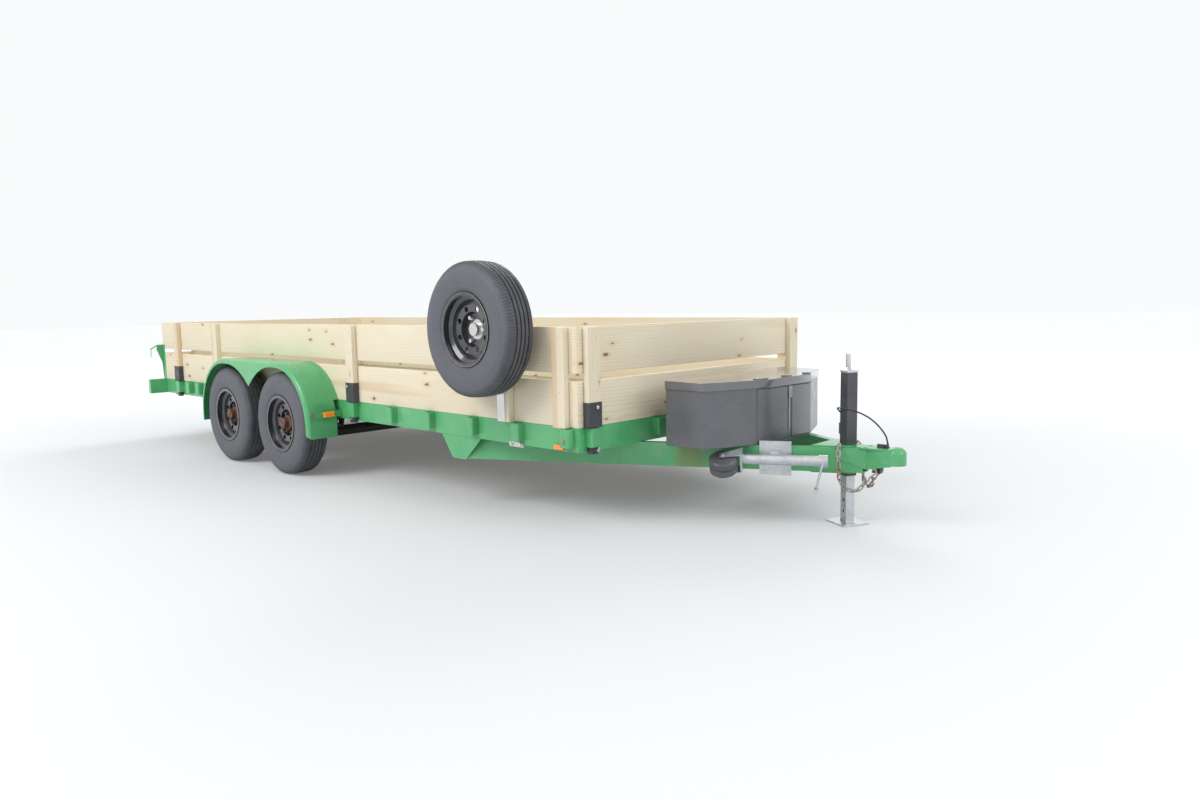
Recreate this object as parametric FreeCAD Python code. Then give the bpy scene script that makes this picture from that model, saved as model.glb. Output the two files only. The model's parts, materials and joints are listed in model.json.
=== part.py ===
import FreeCAD, Part
import math
import os

# Tandem utility trailer with plank sides. Millimetres; +X points forward to the coupler, +Y to the
# left, +Z up. The origin is on the ground, under the middle of the whole length.
os.makedirs("parts", exist_ok=True)

V = FreeCAD.Vector

# Bed frame
bed_length = 5370.0
tongue_reach = 1245.0
rail_half = 1035.0
hub_to_deck = 172.5
rail_depth = 127.0
channel_flange = 44.5
channel_web = 5.0
flange_root = 9.0
flange_tip = 6.0
bumper_reach = 145.0
lamp_r = 26.0
lamp_margin = 6.0
plate_t = 5.0
cross_count = 10
cross_depth = 76.0
cross_flange = 36.0
seat_gap = 0.3

# Deck and stake sides
plank_t = 38.0
plank_count = 8
plank_gap = 6.0
board_t = 38.0
board_w = 235.0
board_gap = 40.0
board_clear = 2.0
post_w = 89.0
post_t = 38.0
pocket_w = 66.0
pocket_proud = 46.0
pocket_h = 96.0
pocket_wall = 6.0
pocket_drop = 4.0
socket_wall = 3.0
socket_h = 128.0
socket_leg_w = 48.0
socket_leg_t = 32.0
socket_leg_below = 40.0

# Running gear
tyre_r = 359.5
tyre_w = 200.0
bead_r = 190.5
rim_half = 92.0
rim_flange = 5.0
wheel_out = 145.0
axle_from_tail = 1832.0
tyre_gap = 119.0
axle_tube_r = 38.0
axle_drop = 101.5
spindle_r = 22.0
spring_in = 23.0
spring_w = 44.0
leaf_t = 7.0
leaf_count = 4
eye_reach = 320.0
eye_r = 14.0
bolt_r = 5.0
pin_r = 6.7
drum_r = 152.0

# Fenders
fender_clear = 65.5
fender_wide = 252.0
fender_roll = 24.0
fender_t = 3.0
fender_lip = 34.0
skirt_in = 38.0
fender_corner = 30.0
fender_bar_up = 38.0
fender_bar_h = 40.0
marker_in = 110.0
marker_w = 77.0
fender_drop = 75.0
valley_drop = 184.5

# Tongue, coupler and jacks
tongue_slope = 27.2
tongue_meet = 1095.0
tongue_tail = 150.0
ball_r = 29.4
coupler_r = 52.0
jack_at = 935.0
jack_side = 61.0
jack_leg_side = 50.0
jack_rise = 254.0
foot_side = 160.0
swivel_at = 645.0
swivel_up = 66.0
swivel_off = 68.0
swivel_r = 27.0
caster_r = 72.0
caster_back = 254.0
caster_trail = 55.0
caster_tilt = 25.0
link_wire = 8.0
link_wide = 30.0
link_pitch = 30.0
link_slack = -0.18

# Toolbox
box_back = 185.0
box_shoulder = 435.0
box_front = 584.0
box_half = 566.0
box_nose_half = 209.0
box_h = 337.0
lid_h = 44.0
box_wall = 5.0
pad_t = 5.0
pilaster_w = 70.0
recess_w = 44.0
hump_h = 9.0
hump_deep = 46.0
hinge_r = 5.5
hinge_pin_r = 3.0
hinge_off = 5.8
hinge_w = 90.0
lead_r = 4.0
switch_side = 32.0
switch_down = 12.0
switch_h = 60.0

# Spare wheel
spare_back = 574.0
spare_up = 499.0
spare_out = 119.0

# Places that follow from the sizes above.
rear_x = -(bed_length + tongue_reach) / 2.0
header_x = rear_x + bed_length
rail_top = tyre_r + hub_to_deck
rail_low = rail_top - rail_depth
tongue_low = rail_low - rail_depth
axle_spread = 2 * tyre_r + tyre_gap
axle_x = (rear_x + axle_from_tail + axle_spread, rear_x + axle_from_tail)
wheel_y = rail_half + wheel_out
spring_y = rail_half - spring_in
bumper_half = rail_half + bumper_reach
fender_edge = rail_half + fender_wide
fender_r = tyre_r + fender_clear
fender_top = tyre_r + fender_r
fender_low = tyre_r - fender_drop
fender_front = axle_x[0] + fender_r
fender_rear = axle_x[1] - fender_r
fender_bar_z = rail_low + fender_bar_up
jack_top = rail_top + jack_rise
swivel_z = tongue_low + swivel_up
switch_high = rail_top - switch_down
switch_low = switch_high - switch_h
spare_z = rail_top + spare_up
bumper_front = rear_x + channel_flange
slope = math.radians(tongue_slope)
meet_x = header_x + tongue_meet
deck_low = rail_top - plank_t
board_out = rail_half + board_clear
post_out = board_out + post_t
spare_y = post_out + spare_out
RIGHT = -1.0
LEFT = 1.0


def box(x0, x1, y0, y1, z0, z1):
    """A block between two corners, given in any order."""
    low = V(min(x0, x1), min(y0, y1), min(z0, z1))
    return Part.makeBox(abs(x1 - x0), abs(y1 - y0), abs(z1 - z0), low)


def prism(points, direction):
    """A flat outline of 3-D points pushed along a direction."""
    return Part.Face(Part.makePolygon(points + [points[0]])).extrude(direction)


def plan(points, z0, z1):
    """An outline in plan, from z0 up to z1."""
    return prism([V(x, y, z0) for x, y in points], V(0, 0, z1 - z0))


def elevation(points, y0, y1):
    """An outline of X and Z, pushed from y0 to y1."""
    return prism([V(x, y0, z) for x, z in points], V(0, y1 - y0, 0))


def cylinder(radius, base, direction, length):
    return Part.makeCylinder(radius, length, base, direction)


def pipe(radius, inner, base, direction, length):
    return cylinder(radius, base, direction, length).cut(cylinder(inner, base, direction, length))


def fuse(shapes):
    """One body of several that touch or overlap."""
    return shapes[0].multiFuse(shapes[1:]).removeSplitter() if len(shapes) > 1 else shapes[0]


def group(shapes):
    """Several bodies of one node that do not touch."""
    return Part.makeCompound(shapes)


def mirrored(shape):
    """The same piece on the other side of the middle."""
    return shape.mirror(V(0, 0, 0), V(0, 1, 0))


def both_sides(shape):
    return group([shape, mirrored(shape)])


def save(name, shape):
    shape.exportStep("parts/" + name + ".step")


def channel_outline(depth, flange, web, root, tip):
    """A rolled channel: flat web outside, two flanges that grow thinner to their tips."""
    return [(0.0, 0.0), (flange, 0.0), (flange, tip), (web, root), (web, depth - root),
            (flange, depth - tip), (flange, depth), (0.0, depth)]


def channel(start, along, inward, length, depth, flange, web, root, tip):
    """A channel from start; along is its run, inward is where the flanges point, Z is its depth."""
    outline = channel_outline(depth, flange, web, root, tip)
    points = [start + inward * u + V(0, 0, 1) * w for u, w in outline]
    return prism(points, along * length)


def frame_channel(start, along, inward, length):
    return channel(start, along, inward, length, rail_depth, channel_flange, channel_web,
                   flange_root, flange_tip)


def revolved(outline, centre, axis, radial):
    """Turns an outline of (radius, place along the axis) once round the axis."""
    points = [centre + radial * r + axis * a for r, a in outline]
    return Part.Face(Part.makePolygon(points + [points[0]])).revolve(centre, axis, 360)


def make_side_rails():
    """Two side rails, web outside, mitred at the front corners."""
    rail = frame_channel(V(bumper_front, -rail_half, rail_low), V(1, 0, 0), V(0, 1, 0),
                         header_x - bumper_front)
    mitre = plan([(bumper_front - 1, -rail_half - 1), (header_x + 1, -rail_half - 1),
                  (header_x - channel_flange, -rail_half + channel_flange),
                  (bumper_front - 1, -rail_half + channel_flange)], rail_low - 1, rail_top + 1)
    save("side_rails", both_sides(rail.common(mitre)))


def make_front_header():
    header = frame_channel(V(header_x, -rail_half, rail_low), V(0, 1, 0), V(-1, 0, 0), 2 * rail_half)
    mitre = plan([(header_x + 1, -rail_half - 1), (header_x + 1, rail_half + 1),
                  (header_x - channel_flange, rail_half - channel_flange),
                  (header_x - channel_flange, -rail_half + channel_flange)], rail_low - 1, rail_top + 1)
    save("front_header", header.common(mitre))


def lamp_block(side, grow, x0, x1):
    """An oval prism on the beam's web, outside a rail."""
    z = (rail_low + rail_top) / 2.0
    y = side * (rail_half + bumper_half) / 2.0
    half = bumper_reach / 2.0 - lamp_margin - lamp_r
    r = lamp_r + grow
    return fuse([box(x0, x1, y - half, y + half, z - r, z + r),
                 cylinder(r, V(x0, y - half, z), V(1, 0, 0), x1 - x0),
                 cylinder(r, V(x0, y + half, z), V(1, 0, 0), x1 - x0)])


def make_rear_bumper():
    """Web to the rear; outside the rails its ends are closed into lamp housings."""
    beam = frame_channel(V(rear_x, -bumper_half, rail_low), V(0, 1, 0), V(1, 0, 0), 2 * bumper_half)
    cap = box(rear_x, bumper_front, -bumper_half, -bumper_half + plate_t, rail_low, rail_top)
    front = box(bumper_front - plate_t, bumper_front, -bumper_half, -rail_half, rail_low, rail_top)
    beam = fuse([beam, cap, front, mirrored(cap), mirrored(front)])
    for side in (RIGHT, LEFT):
        beam = beam.cut(lamp_block(side, seat_gap, rear_x - 1, rear_x + channel_web + 1))
    save("rear_bumper", beam)
    save("tail_lamps", group([lamp_block(side, 0.0, rear_x, rear_x + 20) for side in (RIGHT, LEFT)]))


def make_crossmembers():
    """Small channels between the side rails that carry the planks."""
    reach = rail_half - channel_web
    pitch = (header_x - channel_flange - bumper_front) / cross_count
    beams = []
    for step in range(cross_count):
        x = bumper_front + pitch * (step + 0.5)
        beams.append(channel(V(x, -reach, deck_low - cross_depth), V(0, 1, 0), V(-1, 0, 0), 2 * reach,
                             cross_depth, cross_flange, 4.5, 7.0, 5.0))
    save("crossmembers", group(beams))


def tongue_point(x, off, z):
    """A place by the right tongue channel: x where its web crosses, off outward from the web."""
    y = -(meet_x - x) * math.tan(slope)
    return V(x + off * math.sin(slope), y - off * math.cos(slope), z)


tongue_dir = V(math.cos(slope), math.sin(slope), 0)
tongue_out = V(math.sin(slope), -math.cos(slope), 0)
tongue_rear = meet_x - rail_half / math.tan(slope)
jack_x = header_x + jack_at
coupler_top = rail_low + seat_gap + 7.0


def jack_block(side, z0, z1):
    """A square upright on the jack's centre, turned in line with the left tongue channel."""
    half = side / 2.0
    block = box(-half, half, -half, half, z0, z1)
    block.rotate(V(0, 0, 0), V(0, 0, 1), -tongue_slope)
    block.translate(V(jack_x, 0, 0))
    return block


def make_tongue():
    """Two channels that run under the rails and meet at the coupler."""
    start = tongue_point(tongue_rear - tongue_tail, 0, tongue_low)
    length = (meet_x - tongue_rear + tongue_tail) / math.cos(slope)
    beam = frame_channel(start, tongue_dir, tongue_out * -1, length)
    keep = plan([(rear_x, -rail_half + plate_t), (meet_x - 62, -rail_half + plate_t),
                 (meet_x - 62, -seat_gap), (rear_x, -seat_gap)], tongue_low - 1, rail_low + 1)
    beam = beam.common(keep)
    hole = jack_block(jack_side + 2 * seat_gap, tongue_low - 20, rail_low + 20)
    save("tongue_channels", group([beam.cut(hole), mirrored(beam).cut(hole)]))
    low = tongue_low - 8.0
    gusset = elevation([(tongue_rear - 225, rail_low), (tongue_rear - 125, low), (tongue_rear - 5, low),
                        (tongue_rear + 140, rail_low)], -rail_half, -rail_half + plate_t)
    save("tongue_gussets", both_sides(gusset))
    reach = 0.93 * (190.0 * math.tan(slope))
    top = [(meet_x - 300, -reach - 45), (meet_x - 110, -reach + 52), (meet_x - 110, reach - 52),
           (meet_x - 300, reach + 45)]
    upper = plan(top, rail_low, rail_low + 8).cut(hole)
    lower = plan(top, tongue_low - 8, tongue_low).cut(hole)
    save("tongue_plates", group([upper, lower]))


def pocket(centre_x, centre_y, turn):
    """A stake pocket: flat bar bent to a U with its open side on the web."""
    half = pocket_w / 2.0
    outer = Part.makeBox(pocket_w, pocket_proud, pocket_h, V(-half, -pocket_proud, 0))
    upright = [edge for edge in outer.Edges if abs(edge.tangentAt(edge.FirstParameter).z) > 0.9
               and edge.CenterOfMass.y < -1]
    outer = outer.makeFillet(pocket_wall * 1.8, upright)
    inner = Part.makeBox(pocket_w - 2 * pocket_wall, pocket_proud - pocket_wall, pocket_h,
                         V(-half + pocket_wall, -pocket_proud + pocket_wall, 0))
    cup = outer.cut(inner)
    cup.rotate(V(0, 0, 0), V(0, 0, 1), turn)
    cup.translate(V(centre_x, centre_y, rail_top - pocket_drop - pocket_h))
    return cup


# Stake pockets along each side: what each is measured from, how far away it is, and whether a
# black post socket stands in it.
side_pockets = (("header", 62, False), ("header", 440, False), ("header", 830, False),
                ("header", 1240, False), ("header", 1640, False), ("fender front", 188, True),
                ("fender rear", 210, True), ("tail", 810, False), ("tail", 610, False),
                ("tail", 395, True))
# Uprights that only hold the boards together, back from the header's face.
cleats = (100, 527)
# Pockets on the header, outward from the middle.
header_pockets = ((950, True), (420, False))


def side_places():
    """X of each side pocket and whether it is used; a free one stays clear of fender and posts."""
    starts = {"header": (header_x, -1), "fender front": (fender_front, 1),
              "fender rear": (fender_rear, -1), "tail": (rear_x, 1)}
    places = []
    for start, away, used in side_pockets:
        base, direction = starts[start]
        places.append((base + direction * away, used))
    taken = [x for x, used in places if used]
    kept = []
    for x, used in places:
        under = fender_rear - pocket_w < x < fender_front + pocket_w
        crowded = any(abs(x - other) < pocket_w + post_w for other in taken)
        if used or not (under or crowded):
            kept.append((x, used))
    return kept


def make_stake_pockets():
    cups = [pocket(x, -rail_half, 0) for x, used in side_places()]
    cups = cups + [mirrored(cup) for cup in cups]
    for out, used in header_pockets:
        for side in (RIGHT, LEFT):
            cups.append(pocket(header_x, side * out, 90))
    save("stake_pockets", group(cups))


def socket(turn, x, y):
    """A black sleeve for a post, with a flange and a leg that drops through the pocket."""
    half = post_w / 2.0 + seat_gap
    deep = post_t + seat_gap
    foot = rail_top + seat_gap
    start = -board_clear
    sleeve = box(-half - socket_wall, half + socket_wall, start, start - deep - socket_wall, foot,
                 foot + socket_h)
    space = box(-half, half, start + 1, start - deep, foot + socket_wall, foot + socket_h + 1)
    flange = box(-half - 8, half + 8, start, start - deep - 8, foot, foot + socket_wall)
    middle = -(pocket_proud - pocket_wall) / 2.0
    leg = box(-socket_leg_w / 2, socket_leg_w / 2, middle - socket_leg_t / 2,
              middle + socket_leg_t / 2, rail_low - socket_leg_below + 30, foot + 1)
    piece = fuse([sleeve.cut(space), flange, leg])
    piece.rotate(V(0, 0, 0), V(0, 0, 1), turn)
    piece.translate(V(x, y, 0))
    return piece


def hitch_pin(turn, x, y):
    """A bright pin through the socket's leg, with a wire clip."""
    middle = -(pocket_proud - pocket_wall) / 2.0
    z = rail_low + 12.0
    out = middle - socket_leg_t / 2.0 - seat_gap
    shank = cylinder(4.0, V(0, out, z), V(0, -1, 0), 22)
    head = cylinder(9.0, V(0, out - 22, z), V(0, -1, 0), 4)
    clip = cylinder(2.5, V(0, out - 12, z - 4), V(0.75, 0, 0.66), 22)
    piece = fuse([shank, head, clip])
    piece.rotate(V(0, 0, 0), V(0, 0, 1), turn)
    piece.translate(V(x, y, 0))
    return piece


def used_places():
    """Where sockets stand: turn, x and y on the right side and the header."""
    places = [(0, x, -rail_half) for x, used in side_places() if used]
    places += [(90, header_x, -out) for out, used in header_pockets if used]
    return places


def make_sockets():
    sockets = [socket(*place) for place in used_places()]
    pins = [hitch_pin(*place) for place in used_places()]
    save("post_sockets", group(sockets + [mirrored(piece) for piece in sockets]))
    save("hitch_pins", group(pins + [mirrored(piece) for piece in pins]))


def make_deck():
    """Lengthwise planks, flush with the rails' top, between the flange tips."""
    width = 2 * (rail_half - channel_flange)
    plank_w = (width - (plank_count + 1) * plank_gap) / plank_count
    planks = []
    for step in range(plank_count):
        y = -width / 2 + plank_gap + step * (plank_w + plank_gap)
        planks.append(box(bumper_front + 4, header_x - channel_flange - 4, y, y + plank_w, deck_low,
                          rail_top))
    save("deck_planks", group(planks))


def board_rows():
    """Bottom of the lower and of the upper board."""
    return (rail_top, rail_top + board_w + board_gap)


board_front = header_x + board_clear
board_rear = rear_x + 5.0


def make_boards():
    sides = []
    fronts = []
    rears = []
    for z in board_rows():
        sides.append(box(board_rear, board_front - board_t, -board_out, -board_out + board_t, z,
                         z + board_w))
        fronts.append(box(board_front - board_t, board_front, -board_out, board_out, z, z + board_w))
        rears.append(box(board_rear, board_rear + board_t, -board_out + board_t, board_out - board_t,
                         z, z + board_w))
    save("side_boards", group(sides + [mirrored(board) for board in sides]))
    save("front_boards", group(fronts))
    save("rear_boards", group(rears))


def make_posts():
    """Uprights outside the side and front boards, and two inside the rear boards."""
    top = rail_top + 2 * board_w + board_gap
    foot = rail_top + seat_gap + socket_wall
    half = post_w / 2.0
    posts = []
    for x, used in side_places():
        if used:
            posts.append(box(x - half, x + half, -board_out, -post_out, foot, top))
    for back in cleats:
        x = header_x - back
        posts.append(box(x - half, x + half, -board_out, -post_out, rail_top - 4, top))
    for out, used in header_pockets:
        if used:
            posts.append(box(board_front, board_front + post_t, -out - half, -out + half, foot, top))
    inside = board_rear + board_t
    posts.append(box(inside, inside + post_t, -755 - half, -755 + half, rail_top, top))
    save("stake_posts", group(posts + [mirrored(post) for post in posts]))


def tyre_outline():
    """Half a tyre's section from bead to crown: radius, place across the width."""
    half = tyre_w / 2.0
    bead_half = rim_half - 8.0
    return [(bead_r, bead_half - 0.7), (bead_r + 13, bead_half + 1.3), (0.75 * tyre_r, half),
            (0.86 * tyre_r, half - 2), (0.96 * tyre_r, 0.42 * tyre_w), (tyre_r, 0.33 * tyre_w)]


def tyre(centre, out):
    right = tyre_outline()
    left = [(r, -a) for r, a in reversed(right)]
    inside = [(bead_r, 0.3 * tyre_w), (0.8 * tyre_r, 0.45 * tyre_w), (0.92 * tyre_r, 0.35 * tyre_w)]
    outline = right + left + [(r, -a) for r, a in inside] + inside[::-1]
    return revolved(outline, centre, out, V(0, 0, 1))


def rim_outline():
    """Section of a steel wheel: radius, place outward from the mounting face."""
    lip = rim_half
    seat = bead_r - seat_gap
    edge = seat + rim_flange
    return [(seat - 12, lip), (edge, lip), (edge, lip - 6), (seat, lip - 8), (seat - 3, 52),
            (seat - 26, 40), (seat - 26, -20), (seat - 3, -34), (seat, -lip + 8), (edge, -lip + 6),
            (edge, -lip), (seat - 8, -lip), (seat - 9, -32), (seat - 31, -16), (seat - 31, 22),
            (130, 34), (98, 30), (86, 4), (54, 4), (54, 9), (83, 9), (94, 37), (132, 42),
            (seat - 31, 36), (seat - 30, 44), (seat - 9, 56)]


def steel_wheel(centre, out):
    """Rim and disc in one, with round hand holes and a centre bore."""
    wheel = revolved(rim_outline(), centre, out, V(0, 0, 1))
    for step in range(8):
        turn = math.radians(45.0 * step + 22.5)
        at = centre + V(math.cos(turn), 0, math.sin(turn)) * 114 - out * 5
        wheel = wheel.cut(cylinder(15.0, at, out, 70))
    return wheel


def lug_nuts(centre, out, face):
    """Six hexagon nuts on a 139.7 mm circle."""
    nuts = []
    for step in range(6):
        turn = math.radians(60.0 * step)
        at = centre + V(math.cos(turn), 0, math.sin(turn)) * 69.85 + out * face
        points = []
        for corner in range(6):
            angle = math.radians(60.0 * corner)
            points.append(at + V(math.cos(angle), 0, math.sin(angle)) * 11.5)
        nuts.append(prism(points, out * 19))
    return nuts


def hub(centre, out):
    """Drum, flange and hub nose on one turning body, with nuts outside the disc."""
    bore = spindle_r + seat_gap
    outline = [(bore, -60), (50, -60), (50, -12), (144, -12), (144, -80), (drum_r, -80), (drum_r, 0),
               (80, 4 - seat_gap), (53, 4 - seat_gap), (53, 34), (40, 40), (38, 74), (20, 80), (0, 80),
               (0, 66), (bore, 60)]
    return revolved(outline, centre, out, V(0, 0, 1))


def make_wheels():
    for name, x in (("front", axle_x[0]), ("rear", axle_x[1])):
        for side_name, side in (("right", RIGHT), ("left", LEFT)):
            centre = V(x, side * wheel_y, tyre_r)
            out = V(0, side, 0)
            label = name + "_" + side_name
            save("tyre_" + label, tyre(centre, out))
            save("rim_" + label, steel_wheel(centre, out))
            save("hub_" + label, group([hub(centre, out)] + lug_nuts(centre, out, 9.0)))


def make_axle(name, x):
    """A drop axle: low tube, upright arms, spindles and backing plates."""
    low = tyre_r - axle_drop
    tube = cylinder(axle_tube_r, V(x, -wheel_y + 125, low), V(0, 1, 0), 2 * wheel_y - 250)
    pieces = [tube]
    for side in (RIGHT, LEFT):
        out = V(0, side, 0)
        inner = V(x, side * (wheel_y - 129), 0)
        arm = fuse([cylinder(axle_tube_r, inner + V(0, 0, low), out, 24),
                    cylinder(axle_tube_r, inner + V(0, 0, tyre_r), out, 24),
                    box(x - axle_tube_r, x + axle_tube_r, inner.y, inner.y + side * 24, low, tyre_r)])
        spindle = cylinder(spindle_r, V(x, side * (wheel_y - 112), tyre_r), out, 150)
        plate = cylinder(drum_r - 4, V(x, side * (wheel_y - 92), tyre_r), out, 5)
        stub = cylinder(40.0, V(x, side * (wheel_y - 112), tyre_r), out, 22)
        pad = box(x - 40, x + 40, side * (spring_y - 21), side * (spring_y + 21),
                  low + axle_tube_r - 10, low + axle_tube_r + 6)
        pieces += [arm, spindle, plate, stub, pad]
    save(name, fuse(pieces))


def spring(x, side):
    """A leaf pack that sags to the axle seat, with an eye at each end."""
    seat = tyre_r - axle_drop + axle_tube_r + 6.0
    top = seat + leaf_count * leaf_t
    rise = 26.0
    y0 = side * (spring_y - spring_w / 2)
    y1 = side * (spring_y + spring_w / 2)
    stations = 10
    def height(step):
        return top + rise * (step / stations) ** 2
    line = [(x + eye_reach * step / stations, height(step)) for step in range(-stations, stations + 1)]
    under = []
    for step in range(stations, -1, -1):
        deep = min((stations - step) // 2 + 1, leaf_count) * leaf_t
        if step < stations and (stations - step) % 2 == 0 and deep > under[-1][2]:
            under.append((step, height(step), under[-1][2]))
        under.append((step, height(step), deep))
    right = [(x + eye_reach * step / stations, z - deep) for step, z, deep in under]
    left = [(2 * x - px, pz) for px, pz in reversed(right[:-1])]
    pieces = [elevation(line + right + left, y0, y1)]
    eye_z = top + rise - leaf_t / 2.0
    for end in (-1, 1):
        pieces.append(pipe(eye_r, pin_r + seat_gap, V(x + end * (eye_reach + eye_r - 2), y0, eye_z),
                           V(0, side, 0), spring_w))
    bow = axle_tube_r + bolt_r + 1.0
    low = tyre_r - axle_drop
    for across in (-spring_w / 2 - 7, spring_w / 2 + 7):
        y = side * spring_y + across
        for along in (-bow, bow):
            pieces.append(cylinder(bolt_r, V(x + along, y, low), V(0, 0, 1), top + 16 - low))
        bend = arc_points(x, low, bow + bolt_r, 180, 360, 8) + arc_points(x, low, bow - bolt_r, 360, 180, 8)
        pieces.append(elevation(bend, y - bolt_r, y + bolt_r))
    pieces.append(box(x - bow - 10, x + bow + 10, side * spring_y - spring_w / 2 - 14,
                      side * spring_y + spring_w / 2 + 14, top, top + 8))
    return fuse(pieces)


def make_springs():
    packs = []
    for x in axle_x:
        for side in (RIGHT, LEFT):
            packs.append(spring(x, side))
    save("leaf_springs", group(packs))
    seat = tyre_r - axle_drop + axle_tube_r + 6.0
    eye_z = seat + leaf_count * leaf_t + 26.0 - leaf_t / 2.0
    out = eye_reach + eye_r - 2
    middle = (axle_x[0] + axle_x[1]) / 2.0
    stations = (axle_x[0] + out, middle, axle_x[1] - out)
    hangers = []
    for side in (RIGHT, LEFT):
        for x in stations:
            pieces = [hanger_pin(x, side, eye_z)]
            for across in (-1, 1):
                y = side * spring_y + across * (spring_w / 2 + 3.0 + seat_gap)
                pieces.append(elevation([(x - 42, rail_low), (x - 20, eye_z - 22), (x + 20, eye_z - 22),
                                         (x + 42, rail_low)], y - 3, y + 3))
            hangers.append(fuse(pieces))
    save("spring_hangers", group(hangers))
    half = (axle_spread - 2 * out) / 2.0
    bars = []
    for side in (RIGHT, LEFT):
        y0 = side * spring_y - spring_w / 2 + 2
        y1 = side * spring_y + spring_w / 2 - 2
        rocker = elevation([(middle - half, eye_z - 17), (middle, eye_z + 14), (middle + half, eye_z - 17),
                            (middle + half, eye_z - 36), (middle, eye_z - 20), (middle - half, eye_z - 36)],
                           y0, y1)
        pieces = [rocker.cut(cylinder(pin_r + seat_gap, V(middle, y0 - 1, eye_z), V(0, 1, 0), spring_w))]
        for x in (middle - half, middle + half):
            pieces += [hanger_pin(x, side, eye_z), hanger_pin(x, side, eye_z - 27)]
            for across in (-1, 1):
                y = side * spring_y + across * (spring_w / 2 + seat_gap)
                pieces.append(box(x - 13, x + 13, y, y + across * 4, eye_z - 42, eye_z + 14))
        bars.append(fuse(pieces))
    save("spring_equalisers", group(bars))


def hanger_pin(x, side, z):
    """A bolt across a spring eye or the rocker, at its own radius less a running gap."""
    reach = spring_w / 2.0 + 12.0
    return cylinder(pin_r, V(x, side * spring_y - reach, z), V(0, 1, 0), 2 * reach)


def arc_points(cx, cz, radius, start, stop, steps):
    """Points on an upright arc, angles in degrees from +X towards +Z."""
    points = []
    for step in range(steps + 1):
        angle = math.radians(start + (stop - start) * step / steps)
        points.append((cx + radius * math.cos(angle), cz + radius * math.sin(angle)))
    return points


def fender_block(grow, extra):
    """The fender's outer form as a solid block, with its outer edge rolled over."""
    front = fender_front - grow
    rear = fender_rear + grow
    top = fender_top - grow
    radius = fender_r - grow
    y = -fender_edge + grow
    half = math.sqrt(0.5)
    low_front = V(front, y, fender_low - extra)
    low_rear = V(rear, y, fender_low - extra)
    front_start = V(front, y, top - radius)
    front_end = V(front - radius, y, top)
    rear_start = V(rear + radius, y, top)
    rear_end = V(rear, y, top - radius)
    front_mid = V(front - radius + radius * half, y, top - radius + radius * half)
    rear_mid = V(rear + radius - radius * half, y, top - radius + radius * half)
    edges = [Part.makeLine(low_front, front_start), Part.Arc(front_start, front_mid, front_end).toShape(),
             Part.makeLine(front_end, rear_start), Part.Arc(rear_start, rear_mid, rear_end).toShape(),
             Part.makeLine(rear_end, low_rear), Part.makeLine(low_rear, low_front)]
    block = Part.Face(Part.Wire(edges)).extrude(V(0, -board_out + extra - y, 0))
    outer = [edge for edge in block.Edges if abs(edge.CenterOfMass.y - y) < 0.01
             and not edge.isSame(bottom_edge(block, y))]
    return block.makeFillet(fender_roll - grow, outer)


def bottom_edge(block, y):
    """The edge of the block's outer face that runs under the wheels."""
    rim = [edge for edge in block.Edges if abs(edge.CenterOfMass.y - y) < 0.01]
    return min(rim, key=lambda edge: edge.CenterOfMass.z)


def scallop(x0, z0, x1, z1, steps):
    """A hollow curve that leaves the crown level and falls to the tip between the wheels."""
    points = []
    for step in range(steps + 1):
        share = step / steps
        points.append((x0 + (x1 - x0) * share, z0 + (z1 - z0) * share ** 2.2))
    return points


def make_fenders():
    """Bent top plate with a rolled edge, and an outer skirt with a V between the wheels."""
    shell = fender_block(0.0, 0.0).cut(fender_block(fender_t, 40.0))
    middle = (axle_x[0] + axle_x[1]) / 2.0
    crown = fender_top - fender_lip
    radius = fender_r - fender_lip
    front = fender_front - fender_lip
    rear = fender_rear + fender_lip
    notch = [(front, fender_low - 50)]
    notch += arc_points(front - radius, crown - radius, radius, 0, 90, 8)
    notch += scallop(front - radius - 60, crown, middle, fender_top - valley_drop, 5)
    notch += scallop(rear + radius + 60, crown, middle, fender_top - valley_drop, 5)[::-1][1:]
    notch += arc_points(rear + radius, crown - radius, radius, 90, 180, 8)
    notch += [(rear, fender_low - 50)]
    shell = shell.cut(elevation(notch, -fender_edge - 1, -fender_edge + fender_roll + 1))
    corner = box(front - 1, fender_front + 1, -fender_edge - 1, -fender_edge + fender_corner,
                 fender_low - 1, fender_low + fender_corner)
    round_end = cylinder(fender_corner, V(front - 2, -fender_edge + fender_corner,
                                          fender_low + fender_corner), V(1, 0, 0), fender_lip + 4)
    shell = shell.cut(corner.cut(round_end))
    for end in (fender_front, fender_rear):
        shell = shell.cut(box(end - 60, end + 60, -rail_half - skirt_in, -rail_half, fender_low - 1, rail_top))
    save("fenders", both_sides(shell))


def make_fender_bars():
    """Flat bars from the rails that hold the fenders' front and rear ends, and amber lamps."""
    low = fender_bar_z - fender_bar_h / 2.0
    high = fender_bar_z + fender_bar_h / 2.0
    bars = [box(fender_front, fender_front + 6, -rail_half, -fender_edge + 12, low, high),
            box(fender_rear, fender_rear - 6, -rail_half, -fender_edge + 12, low, high)]
    save("fender_bars", both_sides(group(bars)))
    inner = marker_in - fender_edge
    lamp = box(fender_front + 6, fender_front + 24, inner, inner + marker_w, low + 2, high - 2)
    edges = [edge for edge in lamp.Edges if edge.CenterOfMass.x > fender_front + 20]
    lens = lamp.makeFillet(7.0, edges)
    corner = box(header_x - 168, header_x - 102, -rail_half, -rail_half - 14, rail_low + 8, rail_low + 32)
    save("marker_lamps", both_sides(group([lens, corner])))


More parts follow.
